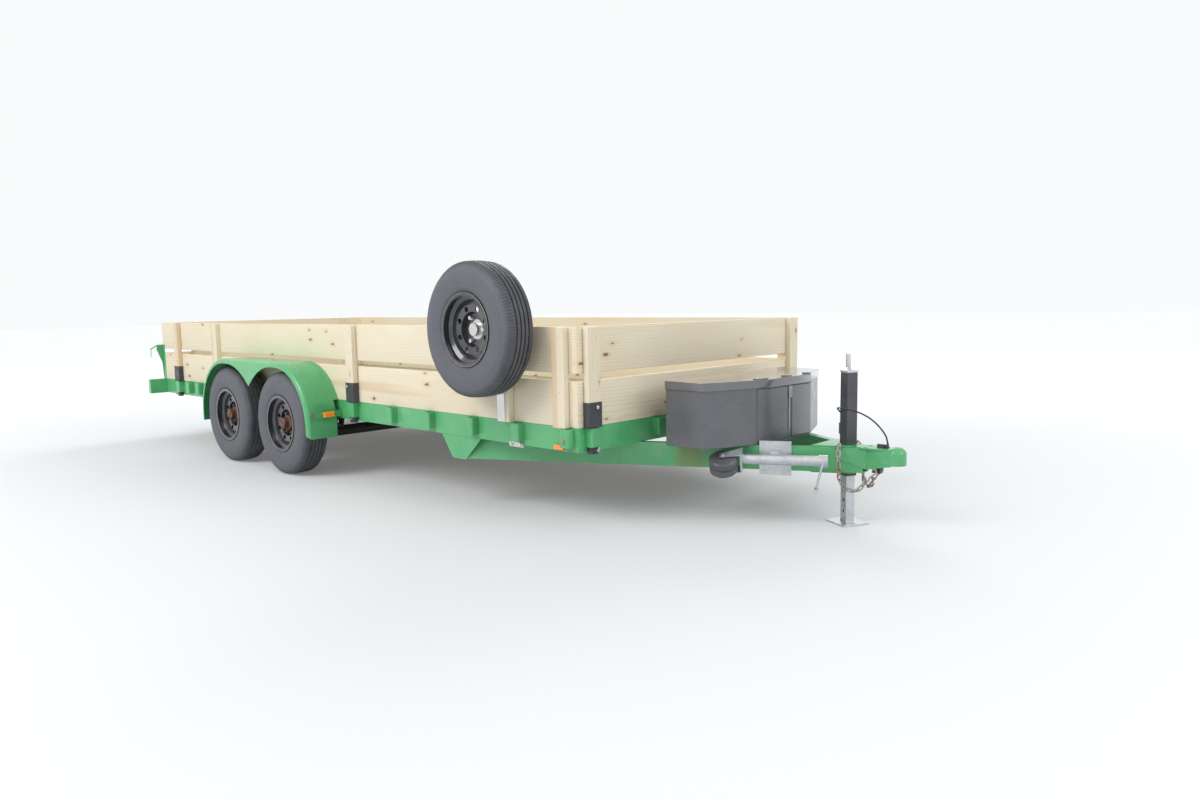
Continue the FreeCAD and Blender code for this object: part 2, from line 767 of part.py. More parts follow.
def make_rear_uprights():
    """Flared plates on the rear corners with a short arm and a hanging rod."""
    x0 = rear_x + 8
    top = rail_top + 310.0
    flare = [(7, rail_top), (15, rail_top + 148), (59, rail_top + 268), (53, top), (0, top), (0, rail_top)]
    plate = prism([V(x0, -board_out - out, z) for out, z in flare], V(plate_t, 0, 0))
    fin = box(x0, x0 + 42, -board_out - 4, -board_out, rail_top, top)
    bent = [(51, top), (53, top - 12), (109, top - 42), (113, top - 34)]
    arm = prism([V(x0, -board_out - out, z) for out, z in bent], V(plate_t, 0, 0))
    rod = cylinder(3.0, V(x0 + plate_t / 2.0, -board_out - 109, top - 106), V(0, 0, 1), 70)
    save("rear_uprights", both_sides(fuse([plate, fin, arm, rod])))


def make_coupler():
    """A-frame coupler: side skirts along the webs, a top plate and the ball housing."""
    nose = header_x + tongue_reach
    ball_x = nose - coupler_r
    top_z = rail_low + 8.0
    skirt_top = top_z + 6
    back_x = header_x + 905.0
    off = seat_gap
    a = tongue_point(back_x, off, 0)
    b = tongue_point(meet_x - 45, off, 0)
    thick = tongue_out * 6.0
    skirt = prism([V(a.x, a.y, rail_low - 49), V(a.x, a.y, rail_low - 9), V(b.x, b.y, skirt_top - 4),
                   V(b.x, b.y, rail_low - 109)], thick)
    plate = plan([(meet_x - 108, -44), (meet_x - 60, -30 - 22), (ball_x, -coupler_r + 8),
                  (ball_x, coupler_r - 8), (meet_x - 60, 30 + 22), (meet_x - 108, 44)],
                 rail_low + seat_gap, coupler_top)
    cheek = prism([V(b.x - 6, b.y - 3, rail_low - 109), V(b.x - 6, b.y - 3, rail_low + 6),
                   V(ball_x, -coupler_r + 1, rail_low + 6), V(ball_x, -coupler_r + 1, rail_low - 75)],
                  V(0, 7, 0))
    dome = [(0, 19), (30, 15), (coupler_r - 6, 3), (coupler_r, -13), (coupler_r, -71)]
    cup = [(ball_r + 0.6, -71), (ball_r + 0.6, -39), (24, -19), (12, -9), (0, -7)]
    housing = revolved(dome + cup, V(ball_x, 0, rail_low), V(0, 0, 1), V(1, 0, 0))
    body = fuse([plate, housing, skirt, mirrored(skirt), cheek, mirrored(cheek)])
    save("coupler", body)
    latch = fuse([box(ball_x - 118, ball_x - 74, -14, 14, rail_low - 123, rail_low - 99),
                  box(ball_x - 104, ball_x - 84, -10, 10, rail_low - 105, rail_low + seat_gap),
                  cylinder(6, V(ball_x - 94, -40, rail_low - 109), V(0, 1, 0), 80)])
    lever = fuse([box(ball_x - 96, ball_x - 40, -9, 9, coupler_top, rail_low + 26),
                  cylinder(5, V(ball_x - 60, -22, rail_low + 18), V(0, 1, 0), 44)])
    save("coupler_latch", group([latch, lever]))


def make_drop_jack():
    """Square tube jack at the coupler, with its inner leg down on a foot plate."""
    tube_low = tongue_low - 26.0
    outer = jack_block(jack_side, tube_low, jack_top).cut(
        jack_block(jack_side - 9, tube_low - 1, jack_top - 6))
    save("jack_tube", outer)
    leg = jack_block(jack_leg_side, 8, tube_low + 60)
    bore = jack_block(jack_leg_side - 10, 7, tube_low + 61)
    foot = jack_block(foot_side, 0, 8)
    across = cylinder(7, V(-60, 0, 0), V(1, 0, 0), 120)
    leg = leg.cut(bore)
    for z in (62, 124, 186):
        hole = across.copy()
        hole.rotate(V(0, 0, 0), V(0, 0, 1), 90 - tongue_slope)
        hole.translate(V(jack_x, 0, z))
        leg = leg.cut(hole)
    save("jack_leg", fuse([leg, foot]))
    cap = jack_block(jack_side + 6, jack_top, jack_top + 10)
    post = cylinder(9, V(jack_x, 0, jack_top + 10), V(0, 0, 1), 26)
    arm = cylinder(6, V(jack_x, 0, jack_top + 27), V(-0.5, 0.86, 0), 120)
    grip = cylinder(13, V(jack_x - 60, 103, jack_top + 17), V(0, 0, 1), 70)
    save("jack_crank", fuse([cap, post, arm, grip]))


def swivel_point(along, off, z):
    """A place by the swivel jack: along the channel from its pivot, off outward from the web."""
    base = tongue_point(header_x + swivel_at, off, z)
    return base + tongue_dir * along


def swivel_block(s0, s1, t0, t1, z0, z1):
    points = [swivel_point(s, t, z0) for s, t in ((s0, t0), (s1, t0), (s1, t1), (s0, t1))]
    return prism(points, V(0, 0, z1 - z0))


def make_swivel_jack():
    plate = swivel_block(-82, 82, 0, 6, tongue_low - 26, rail_low + 26)
    boss = cylinder(34, swivel_point(0, 6, swivel_z), tongue_out, swivel_off - swivel_r - 6 - 9)
    bolts = []
    for s in (-66, 66):
        for z in (tongue_low - 12, rail_low + 12, swivel_z):
            bolts.append(cylinder(10, swivel_point(s, 6, z), tongue_out, 8))
    save("swivel_bracket", fuse([plate, boss] + bolts))
    axis_rear = swivel_point(-159, swivel_off, swivel_z)
    tube = cylinder(swivel_r, axis_rear, tongue_dir, 385)
    head = cylinder(swivel_r + 5, swivel_point(222, swivel_off, swivel_z), tongue_dir, 46)
    ring = cylinder(38, swivel_point(0, swivel_off - swivel_r - 9 + seat_gap, swivel_z), tongue_out, 16)
    shaft = cylinder(8, swivel_point(244, swivel_off, swivel_z), tongue_out, swivel_r + 24)
    hand = swivel_point(244, swivel_off + swivel_r + 20, swivel_z)
    arm_dir = (tongue_dir * -0.22 + V(0, 0, -0.975)).normalize()
    arm = cylinder(6, hand, arm_dir, 150)
    grip = cylinder(11, hand + arm_dir * 138, tongue_out, 62)
    tilt = math.radians(caster_tilt)
    trail = tongue_out * math.cos(tilt) + V(0, 0, -math.sin(tilt))
    up = tongue_out * math.sin(tilt) + V(0, 0, math.cos(tilt))
    fork_centre = swivel_point(-159, swivel_off, swivel_z)
    wheel_centre = swivel_point(-caster_back, swivel_off, swivel_z) + trail * caster_trail
    yoke = []
    half = 57.0
    corners = [(-10, -half), (-10, half), (0, half), (0, -half)]
    yoke.append(prism([fork_centre + tongue_dir * s + up * w - trail * 20 for s, w in corners],
                      trail * (40 + caster_trail * 0.5)))
    for side in (-1, 1):
        level = fork_centre + up * (side * half)
        side_points = [level - trail * 20, level + trail * (20 + caster_trail * 0.5),
                       wheel_centre + up * (side * half) + trail * 18 - tongue_dir * 14,
                       wheel_centre + up * (side * half) - trail * 14 - tongue_dir * 18]
        yoke.append(prism(side_points, up * (-6 * side)))
    pin = cylinder(8, wheel_centre - up * (half + 8), up, 2 * half + 16)
    save("swivel_jack", fuse([tube, head, ring, shaft, arm, grip, pin] + yoke))
    tread = 43.0
    outline = [(8.3, -tread - 2), (22, -tread - 2), (22, -tread), (caster_r - 8, -tread),
               (caster_r, -tread + 8), (caster_r, -8), (caster_r - 9, -3), (caster_r - 9, 3),
               (caster_r, 8), (caster_r, tread - 8), (caster_r - 8, tread), (22, tread),
               (22, tread + 2), (8.3, tread + 2)]
    save("swivel_caster", revolved(outline, wheel_centre, up, tongue_dir))


def box_plan(grow):
    """Six-sided plan of the toolbox, grown by a wall or a lid's overhang."""
    tan_side = (box_half - box_nose_half) / (box_front - box_shoulder)
    root = math.sqrt(1 + tan_side ** 2)
    back = header_x + box_back - grow
    shoulder = header_x + box_shoulder + grow * (root - 1) / tan_side
    front = header_x + box_front + grow
    nose = box_nose_half + grow * (root - tan_side)
    half = box_half + grow
    return [(back, -half), (shoulder, -half), (front, -nose), (front, nose), (shoulder, half),
            (back, half)]


def slant(grow, along, inward):
    """A place on the right slanted face of the box: back from its nose corner, then inward."""
    shoulder = box_plan(grow)[1]
    nose = box_plan(grow)[2]
    run = math.hypot(shoulder[0] - nose[0], shoulder[1] - nose[1])
    dx = (shoulder[0] - nose[0]) / run
    dy = (shoulder[1] - nose[1]) / run
    return (nose[0] + dx * along + dy * inward, nose[1] + dy * along - dx * inward)


def make_toolbox():
    """Tongue box with a nose, and a lid that rests on its rim and laps over its sides."""
    low = rail_low
    rim = low + box_h
    seam = rim - lid_h + box_wall
    front = header_x + box_front
    top = rim + box_wall
    pad = plan([slant(0.0, pilaster_w, 0), slant(pad_t, pilaster_w, 0), box_plan(pad_t)[2],
                (front + pad_t, -recess_w / 2), (front, -recess_w / 2), box_plan(0.0)[2]],
               low + 12, seam - 5)
    shell = plan(box_plan(0.0), low, rim).cut(plan(box_plan(-box_wall), low + box_wall, rim + 1))
    save("toolbox_body", fuse([shell, pad, mirrored(pad)]))
    lap = 6.0
    back = header_x + box_back
    lid = plan(box_plan(lap), seam, top).cut(plan(box_plan(1.5), seam - 1, rim))
    lid = lid.cut(box(back - 10, back, -box_half - 10, box_half + 10, seam - 1, top + 1))
    hump = plan([slant(lap, pilaster_w, 0), slant(lap, 0, 0), slant(lap, 0, hump_deep),
                 slant(lap, pilaster_w, hump_deep)], top - 1, top + hump_h)
    middle = box(front + lap - hump_deep, front + lap, -recess_w / 2, recess_w / 2, top - 1, top + hump_h)
    save("toolbox_lid", fuse([lid, hump, mirrored(hump), middle]))
    latch = box(front + seat_gap, front + 9, -17, 17, seam - 70, seam - 6)
    guide = box(front + seat_gap, front + 3, -7, 7, low + 60, seam - 65)
    save("toolbox_latches", fuse([latch, guide]))


def make_lid_hinges():
    """Three hinges along the back of the box: outer knuckles and pin on the box, middle one on the lid."""
    back = header_x + box_back
    x = back - hinge_off
    z = rail_low + box_h
    third = hinge_w / 3.0
    fixed = []
    turning = []
    for y in (-0.7 * box_half, 0.0, 0.7 * box_half):
        start = y - hinge_w / 2.0
        leaf = box(back - 2.5, back, start, start + hinge_w, z - 38, z - hinge_r - 1)
        pieces = [leaf, cylinder(hinge_pin_r, V(x, start, z), V(0, 1, 0), hinge_w)]
        for knuckle in (start, start + 2 * third):
            pieces.append(cylinder(hinge_r, V(x, knuckle, z), V(0, 1, 0), third))
            pieces.append(box(back - 2.5, back, knuckle, knuckle + third, z - hinge_r - 2, z - 1))
        fixed.append(fuse(pieces))
        y0 = start + third + seat_gap
        length = third - 2 * seat_gap
        web = box(x, back, y0, y0 + length, z + seat_gap, z + box_wall)
        knuckle = fuse([cylinder(hinge_r, V(x, y0, z), V(0, 1, 0), length), web])
        turning.append(knuckle.cut(cylinder(hinge_pin_r + seat_gap, V(x, y0 - 1, z), V(0, 1, 0),
                                            third + 2)))
    save("toolbox_hinges", group(fixed))
    save("lid_knuckles", group(turning))


def make_spare():
    x = header_x - spare_back
    centre = V(x, -spare_y, spare_z)
    save("spare_tyre", tyre(centre, V(0, -1, 0)))
    save("spare_rim", steel_wheel(centre, V(0, -1, 0)))
    strap_x = header_x - cleats[1] - post_w / 2.0
    strap = box(strap_x, strap_x + 60, -post_out, -post_out - 6, rail_top - 2, spare_z + 60)
    web = box(x - 50, strap_x + 60, -post_out, -post_out - 6, spare_z - 60, spare_z + 60)
    stub = cylinder(30, V(x, -post_out, spare_z), V(0, -1, 0), spare_y - post_out + 2)
    plate = cylinder(90, V(x, -spare_y - 4, spare_z), V(0, 1, 0), 10)
    cap = cylinder(34, V(x, -spare_y - 4, spare_z), V(0, -1, 0), 30)
    nuts = lug_nuts(centre, V(0, -1, 0), 9.0)
    foot_x = header_x - 470.0
    clamp = fuse([box(foot_x - 55, foot_x + 55, -rail_half, -rail_half - 6, rail_low - 12, rail_low + 14),
                  cylinder(10, V(foot_x - 36, -rail_half - 6, rail_low + 3), V(0, -1, 0), 9),
                  cylinder(10, V(foot_x + 36, -rail_half - 6, rail_low + 3), V(0, -1, 0), 9)])
    save("spare_carrier", group([fuse([strap, web, stub, plate, cap]), clamp] + nuts[::2]))


def chain_link(first, second, flat, wire, width):
    """One link between two joints: a stadium of round bar, six sides to the bar."""
    along = (second - first).normalize()
    normal = along.cross(flat).normalize()
    middle = (first + second) * 0.5
    radius = (width - wire) / 2.0
    turn = math.radians(20.0)
    reach = (second - first).Length / 2.0 + wire / 2.0 + link_slack - radius * math.cos(turn)
    rings = []
    for end, angles in ((1, (-60, -20, 20, 60)), (-1, (120, 160, 200, 240))):
        for angle in angles:
            a = math.radians(angle)
            outward = along * math.cos(a) + flat * math.sin(a)
            centre = middle + along * (end * reach) + outward * radius
            ring = []
            for corner in range(6):
                b = math.radians(60.0 * corner + 30.0)
                ring.append(centre + (outward * math.cos(b) + normal * math.sin(b)) * (wire / 2.0))
            rings.append(ring)
    faces = []
    for i, here in enumerate(rings):
        there = rings[(i + 1) % len(rings)]
        for k in range(6):
            m = (k + 1) % 6
            for tri in ((here[k], here[m], there[m]), (here[k], there[m], there[k])):
                faces.append(Part.Face(Part.makePolygon(list(tri) + [tri[0]])))
    return Part.makeSolid(Part.makeShell(faces)), normal


def march(route, pitch):
    """Joints one pitch apart along a smooth route through the given places."""
    fine = []
    for i in range(len(route) - 1):
        p0 = route[max(i - 1, 0)]
        p1 = route[i]
        p2 = route[i + 1]
        p3 = route[min(i + 2, len(route) - 1)]
        for step in range(24):
            t = step / 24.0
            fine.append(p1 * (1 - t) ** 3 + (p1 + (p2 - p0) * (1 / 6.0)) * (3 * t * (1 - t) ** 2)
                        + (p2 - (p3 - p1) * (1 / 6.0)) * (3 * t * t * (1 - t)) + p2 * t ** 3)
    fine.append(route[-1])
    joints = [fine[0]]
    for place in fine:
        while (place - joints[-1]).Length >= pitch:
            joints.append(joints[-1] + (place - joints[-1]).normalize() * pitch)
    return joints


def make_chains():
    """Two safety chains from the tongue, draped and hooked back at the coupler."""
    places = ((922, -72, 142.9), (940, -107, 131.5), (948, -126, 94), (952, -130, 42), (954, -128, -16),
              (968, -112, -64), (1002, -88, -88), (1036, -62, -78), (1056, -42, -34))
    joints = march([V(header_x + x, y, tongue_low + z) for x, y, z in places], link_pitch)
    flat = V(0.9, 0.2, 0.4)
    links = []
    for first, second in zip(joints, joints[1:]):
        along = (second - first).normalize()
        flat = (flat - along * flat.dot(along)).normalize()
        link, flat = chain_link(first, second, flat, link_wire, link_wide)
        links.append(link)
    save("safety_chains", group(links + [mirrored(link) for link in links]))


def rounded_path(points):
    """Straight runs joined by tangent arcs, each as large as its two runs allow."""
    edges = []
    here = points[0]
    for before, corner, after in zip(points, points[1:], points[2:]):
        back = (before - corner).normalize()
        ahead = (after - corner).normalize()
        half_turn = (math.pi - back.getAngle(ahead)) / 2.0
        trim = 0.45 * min((before - corner).Length, (after - corner).Length)
        radius = trim / math.tan(half_turn)
        print("lead bend radius", round(radius, 1))
        inside = (back + ahead).normalize() * (radius / math.cos(half_turn) - radius)
        start = corner + back * trim
        end = corner + ahead * trim
        edges.append(Part.makeLine(here, start))
        edges.append(Part.Arc(start, corner + inside, end).toShape())
        here = end
    edges.append(Part.makeLine(here, points[-1]))
    return Part.Wire(edges)


def make_lead():
    """A stiff black lead that arches from the switch on the jack to the coupler's top."""
    away = V(-math.cos(slope), math.sin(slope), 0) * (jack_side / 2.0 + switch_side / 2.0)
    half = switch_side / 2.0
    block = box(-half, half, -half, half, switch_low, switch_high)
    block.rotate(V(0, 0, 0), V(0, 0, 1), -tongue_slope)
    block.translate(V(jack_x, 0, 0) + away)
    save("breakaway_switch", block)
    rise = [(-41.35, 21.25, switch_high), (-41.35, 21.25, 556), (-55.4, 1.5, 584), (-51.3, -29.9, 601),
            (-22.1, -56, 606), (27.7, -77.2, 604), (96, -74, 594), (154, -50, 560), (192, -14, 505),
            (208, 15, 455), (208, 15, coupler_top)]
    points = [V(jack_x + x, y, z) for x, y, z in rise]
    path = rounded_path(points)
    ring = Part.Wire([Part.makeCircle(lead_r, points[0], points[1] - points[0])])
    lead = path.makePipeShell([ring], True, False)
    print("lead length", round(path.Length, 1), "volume share",
          round(lead.Volume / (math.pi * lead_r ** 2 * path.Length), 4))
    save("breakaway_lead", lead)


make_side_rails()
make_front_header()
make_rear_bumper()
make_crossmembers()
make_tongue()
make_stake_pockets()
make_sockets()
make_deck()
make_boards()
make_posts()
make_wheels()
make_axle("axle_front", axle_x[0])
make_axle("axle_rear", axle_x[1])
make_springs()
make_fenders()
make_fender_bars()
make_rear_uprights()
make_coupler()
make_drop_jack()
make_swivel_jack()
make_toolbox()
make_lid_hinges()
make_spare()
make_chains()
make_lead()
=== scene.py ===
# %% [markdown]
# # A tandem utility trailer with plank sides
#
# The solids of the trailer are already built to size. This lesson dresses them: every surface gets a
# procedural finish, and the pieces whose look depends on fine shape, such as tyres, planks, chain links
# and the rounded edges of folded steel, are worked out again as surfaces.
#
# The model's own frame is used throughout: metres, X forward to the coupler, Y to the left, Z up.

# %% Load the frame
import bmesh
import bpy
import json
import math
import numpy as np
from mathutils import Matrix, Vector

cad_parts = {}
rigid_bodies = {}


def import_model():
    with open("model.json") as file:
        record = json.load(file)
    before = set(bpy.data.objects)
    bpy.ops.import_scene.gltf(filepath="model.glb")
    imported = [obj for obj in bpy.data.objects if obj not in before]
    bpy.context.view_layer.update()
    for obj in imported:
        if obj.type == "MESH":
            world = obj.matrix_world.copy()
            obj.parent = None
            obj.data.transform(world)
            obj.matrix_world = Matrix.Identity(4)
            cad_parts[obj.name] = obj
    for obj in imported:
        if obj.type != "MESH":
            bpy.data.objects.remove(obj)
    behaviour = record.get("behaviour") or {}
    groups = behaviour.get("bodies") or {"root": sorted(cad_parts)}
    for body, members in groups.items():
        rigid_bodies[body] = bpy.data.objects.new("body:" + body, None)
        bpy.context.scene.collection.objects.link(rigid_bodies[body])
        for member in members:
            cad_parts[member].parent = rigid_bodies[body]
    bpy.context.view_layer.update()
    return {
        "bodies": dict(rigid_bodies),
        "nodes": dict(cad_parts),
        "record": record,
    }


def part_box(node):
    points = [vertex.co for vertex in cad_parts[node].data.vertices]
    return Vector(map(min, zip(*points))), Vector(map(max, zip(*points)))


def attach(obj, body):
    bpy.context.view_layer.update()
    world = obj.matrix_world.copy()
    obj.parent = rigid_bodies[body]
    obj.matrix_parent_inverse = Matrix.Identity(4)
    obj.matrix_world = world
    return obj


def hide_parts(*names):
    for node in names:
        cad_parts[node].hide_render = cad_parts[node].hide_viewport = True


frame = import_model()
NODES = frame["nodes"]
BODY_OF = {node: body for body, empty in frame["bodies"].items()
           for node in NODES if NODES[node].parent == empty}
SLOT_OF = {part["node"]: part["material_slot"] for part in frame["record"]["subparts"]}

# %% [markdown]
# ## Camera
#
# The camera stands off the right front corner, a little above the stake sides, with a wide lens that
# looks down about six degrees and rolls by one. An empty that the camera tracks would be easier, but it
# can't give the roll, so the camera's own three axes are worked out from three angles.

# %% Camera
PICTURE_WIDTH = 1200
LENS_PIXELS = 878.776
SENSOR_WIDTH = 36.0
FARTHEST_SEEN = 200.0
CAMERA_PLACE = (5.16126, -4.12937, 1.16427)
CAMERA_YAW = 2.33115
CAMERA_PITCH = -0.111175
CAMERA_ROLL = -0.016589


def camera_axes(yaw, pitch, roll):
    """Right, up and look directions: yaw turns from X to Y, pitch lifts, roll turns about the look."""
    look = np.array([math.cos(pitch) * math.cos(yaw), math.cos(pitch) * math.sin(yaw), math.sin(pitch)])
    level = np.array([math.sin(yaw), -math.cos(yaw), 0.0])
    rise = np.cross(level, look)
    right = math.cos(roll) * level + math.sin(roll) * rise
    up = math.cos(roll) * rise - math.sin(roll) * level
    return right, up, look


def placed(name, data):
    """A new object at the origin that shows this mesh, curve, lamp or camera."""
    obj = bpy.data.objects.new(name, data)
    bpy.context.scene.collection.objects.link(obj)
    return obj


right, up, look = camera_axes(CAMERA_YAW, CAMERA_PITCH, CAMERA_ROLL)
camera_data = bpy.data.cameras.new("camera")
camera_data.sensor_fit = "HORIZONTAL"
camera_data.sensor_width = SENSOR_WIDTH
camera_data.lens = LENS_PIXELS / PICTURE_WIDTH * SENSOR_WIDTH
camera_data.clip_end = FARTHEST_SEEN
camera = placed("camera", camera_data)
turn = np.eye(4)
turn[:3, 0], turn[:3, 1], turn[:3, 2], turn[:3, 3] = right, up, -look, CAMERA_PLACE
camera.matrix_world = Matrix(turn.tolist())
bpy.context.scene.camera = camera
print("camera lens", round(camera_data.lens, 2), "mm")

# %% [markdown]
# ## How the finishes are made
#
# A finish is a small tree of nodes. Most finishes here share the same bones: a base colour that wanders
# between two near tones on noise, a roughness that wanders the same way, and a fine bump. A helper makes
# those bones, and each finish adds its own, such as rings and knots for pine or spangle for zinc.
# Patterns read Object coordinates, so they stay put on the piece and come out the same from every side.


# %% Helpers for node trees
def new_material(name):
    """An empty material, its node tree and its principled shader."""
    material = bpy.data.materials.new(name)
    material.use_nodes = True
    return material, material.node_tree, material.node_tree.nodes["Principled BSDF"]


def feed(socket, value):
    """Links another node's output to this input, or sets it to a number, a vector or a colour."""
    if isinstance(value, bpy.types.NodeSocket):
        socket.id_data.links.new(value, socket)
    elif isinstance(value, tuple) and len(socket.default_value) == len(value) + 1:
        socket.default_value = (*value, 1.0)
    else:
        socket.default_value = value


def node(tree, kind, **values):
    """A node of that kind; a name is one of its inputs, which is fed, or else one of its settings."""
    made = tree.nodes.new(kind)
    for key, value in values.items():
        if key in made.inputs:
            feed(made.inputs[key], value)
        else:
            setattr(made, key, value)
    return made


def reckon(tree, operation, *values, vector=False):
    """The result of a math node, on numbers or on vectors, whose inputs are fed in order."""
    made = node(tree, "ShaderNodeVectorMath" if vector else "ShaderNodeMath", operation=operation)
    for socket, value in zip(made.inputs, values):
        feed(socket, value)
    return made.outputs["Value" if operation == "LENGTH" else 0]


def place_of(tree, scale=(1.0, 1.0, 1.0), attribute=None):
    """Coordinates for a pattern: Object coordinates, or a stored attribute, scaled per axis."""
    if attribute is None:
        source = node(tree, "ShaderNodeTexCoord").outputs["Object"]
    else:
        source = node(tree, "ShaderNodeAttribute", attribute_name=attribute).outputs["Vector"]
    return node(tree, "ShaderNodeMapping", Vector=source, Scale=scale).outputs["Vector"]


# %% Helpers for patterns and colours
BLACK = (0.0, 0.0, 0.0)


def noise(tree, coords, scale, detail=3.0, rough=0.5):
    """Noise as a value from 0 to 1 that wanders over about 1 / scale metres."""
    return node(tree, "ShaderNodeTexNoise", Vector=coords, Scale=scale, Detail=detail,
                Roughness=rough).outputs["Fac"]


def ramp(tree, value, stops):
    """Colours or greys along a value: each stop is a place from 0 to 1 and its colour."""
    made = node(tree, "ShaderNodeValToRGB", Fac=value)
    elements = made.color_ramp.elements
    while len(elements) < len(stops):
        elements.new(0.5)
    for element, (place, colour) in zip(elements, stops):
        element.position = place
        element.color = (*(colour if isinstance(colour, tuple) else (colour,) * 3), 1.0)
    return made.outputs["Color"]


def mix(tree, share, first, second):
    """Two colours mixed by a share, from all of the first at 0 to all of the second at 1."""
    made = node(tree, "ShaderNodeMix", data_type="RGBA")
    for index, value in ((0, share), (6, first), (7, second)):
        feed(made.inputs[index], value)
    return made.outputs[2]


def lay_over(tree, shader, pattern, colour, stops=None):
    """Lays a colour over the base colour; the pattern is the share, by way of stops where given."""
    share = ramp(tree, pattern, stops) if stops else pattern
    base = shader.inputs["Base Color"]
    feed(base, mix(tree, share, base.links[0].from_socket, colour))


def bump(tree, shader, height, strength, distance):
    """Adds a bump to the shader's normal, after any bump that is there already."""
    normal = shader.inputs["Normal"]
    made = node(tree, "ShaderNodeBump", Strength=strength, Distance=distance, Height=height)
    if normal.is_linked:
        feed(made.inputs["Normal"], normal.links[0].from_socket)
    feed(normal, made.outputs["Normal"])


def coated(name, light, dark, rough, metallic=0.0, coat=0.0, wander=3.0, grain=260.0, depth=0.0002):
    """A paint, plastic or metal: colour and roughness wander between two tones, with a fine bump."""
    material, tree, shader = new_material(name)
    coords = place_of(tree)
    tone = ramp(tree, noise(tree, coords, wander, 4.0, 0.6), [(0.35, dark), (0.65, light)])
    dull = ramp(tree, noise(tree, coords, wander * 4), [(0.3, rough[0]), (0.7, rough[1])])
    for key, value in (("Base Color", tone), ("Roughness", dull), ("Metallic", metallic),
                       ("Coat Weight", coat), ("Coat Roughness", 0.12)):
        feed(shader.inputs[key], value)
    bump(tree, shader, noise(tree, coords, grain, 2.0), 0.35, depth)
    return material, tree, shader, coords


# %% [markdown]
# ## Green paint
#
# The frame, tongue, pockets and fenders wear one bright green enamel, thick enough to shine, a little
# faded and dusty in patches, with small dark chips. A flat green would look like plastic, so the tone
# wanders slowly, dust gathers by noise, and a very fine orange peel breaks the highlights. The tongue
# has an old brown stain on its web, which is drawn only on the tongue's own version of the paint.

# %% Green paint
GREEN = (0.115, 0.475, 0.190)
GREEN_DEEP = (0.075, 0.390, 0.140)
DUST = (0.44, 0.56, 0.44)
CHIP = (0.05, 0.09, 0.04)
STAIN = (0.21, 0.22, 0.055)
STAIN_CENTRE = (2.307, -0.437, 0.335)
STAIN_REACH = (0.080, 0.080, 0.30)


def green_paint(name):
    """Enamel between two greens, under dust in wide patches and chips in small specks."""
    material, tree, shader, coords = coated(name, GREEN, GREEN_DEEP, (0.22, 0.42), coat=0.35, wander=1.6)
    lay_over(tree, shader, noise(tree, coords, 6.5, 6.0, 0.65), DUST, [(0.56, 0.0), (0.80, 0.30)])
    lay_over(tree, shader, noise(tree, coords, 90.0, 2.0), CHIP, [(0.70, 0.0), (0.76, 0.35)])
    return material, tree, shader, coords


def stained_green():
    """Green paint with a stain where the distance from its centre, in reaches, less noise is small."""
    material, tree, shader, coords = green_paint("green_enamel_stained")
    place = node(tree, "ShaderNodeTexCoord").outputs["Object"]
    from_centre = reckon(tree, "SUBTRACT", place, STAIN_CENTRE, vector=True)
    in_reaches = reckon(tree, "DIVIDE", from_centre, STAIN_REACH, vector=True)
    far = reckon(tree, "LENGTH", in_reaches, vector=True)
    ragged = reckon(tree, "SUBTRACT", far, noise(tree, coords, 16.0, 5.0, 0.7))
    lay_over(tree, shader, ragged, STAIN, [(0.15, 0.62), (0.75, 0.0)])
    return material


green, *_ = green_paint("green_enamel")
tongue_green = stained_green()
print("paints", len(bpy.data.materials))

# %% [markdown]
# ## Black paints and plastics
#
# The black enamel of the wheels shines, and the black of the sockets and of the axles is duller. The
# toolbox is moulded with a pebble grain, which rounded Voronoi cells give, and scuffs have greyed it.

# %% Black finishes
wheel_black, *_ = coated("wheel_black_enamel", (0.038, 0.040, 0.048), (0.022, 0.023, 0.028),
                         (0.12, 0.26), coat=0.8, wander=7.0)
socket_black, *_ = coated("socket_black_paint", (0.062, 0.065, 0.074), (0.040, 0.042, 0.048),
                          (0.34, 0.55), coat=0.1, wander=9.0)
chassis_black, *_ = coated("chassis_black_paint", (0.036, 0.034, 0.032), (0.018, 0.017, 0.016),
                           (0.5, 0.7), wander=5.0)
tube_black, *_ = coated("jack_tube_black", (0.072, 0.074, 0.082), (0.046, 0.047, 0.052),
                        (0.30, 0.46), coat=0.15, wander=8.0)
cable_rubber, *_ = coated("cable_rubber", (0.022, 0.022, 0.024), (0.014, 0.014, 0.016),
                          (0.42, 0.58), wander=30.0)
print("with blacks", len(bpy.data.materials))

# %% Moulded plastics
SCUFF = (0.16, 0.16, 0.165)


def moulded_plastic(name, light, dark, pebble, depth, rough, gloss=0.22):
    """Plastic with a moulded pebble: rounded cells from a smooth Voronoi, with scuffs that run level."""
    material, tree, shader, coords = coated(name, light, dark, rough, coat=gloss, wander=4.0, grain=700.0,
                                            depth=0.00005)
    cells = node(tree, "ShaderNodeTexVoronoi", feature="SMOOTH_F1", Vector=coords, Scale=pebble)
    bump(tree, shader, cells.outputs["Distance"], 0.55, depth)
    level = noise(tree, place_of(tree, (3.0, 3.0, 14.0)), 9.0, 6.0, 0.7)
    lay_over(tree, shader, level, SCUFF, [(0.62, 0.0), (0.80, 0.22)])
    return material


box_plastic = moulded_plastic("box_plastic", (0.142, 0.142, 0.154), (0.110, 0.111, 0.122), 420.0, 0.0003,
                              (0.24, 0.36))
lid_plastic = moulded_plastic("lid_plastic", (0.150, 0.150, 0.162), (0.118, 0.119, 0.130), 420.0, 0.0001,
                              (0.16, 0.24), 0.9)
caster_plastic = moulded_plastic("caster_plastic", (0.130, 0.130, 0.140), (0.080, 0.080, 0.088), 300.0,
                                 0.0003, (0.5, 0.7))
print("with plastics", len(bpy.data.materials))

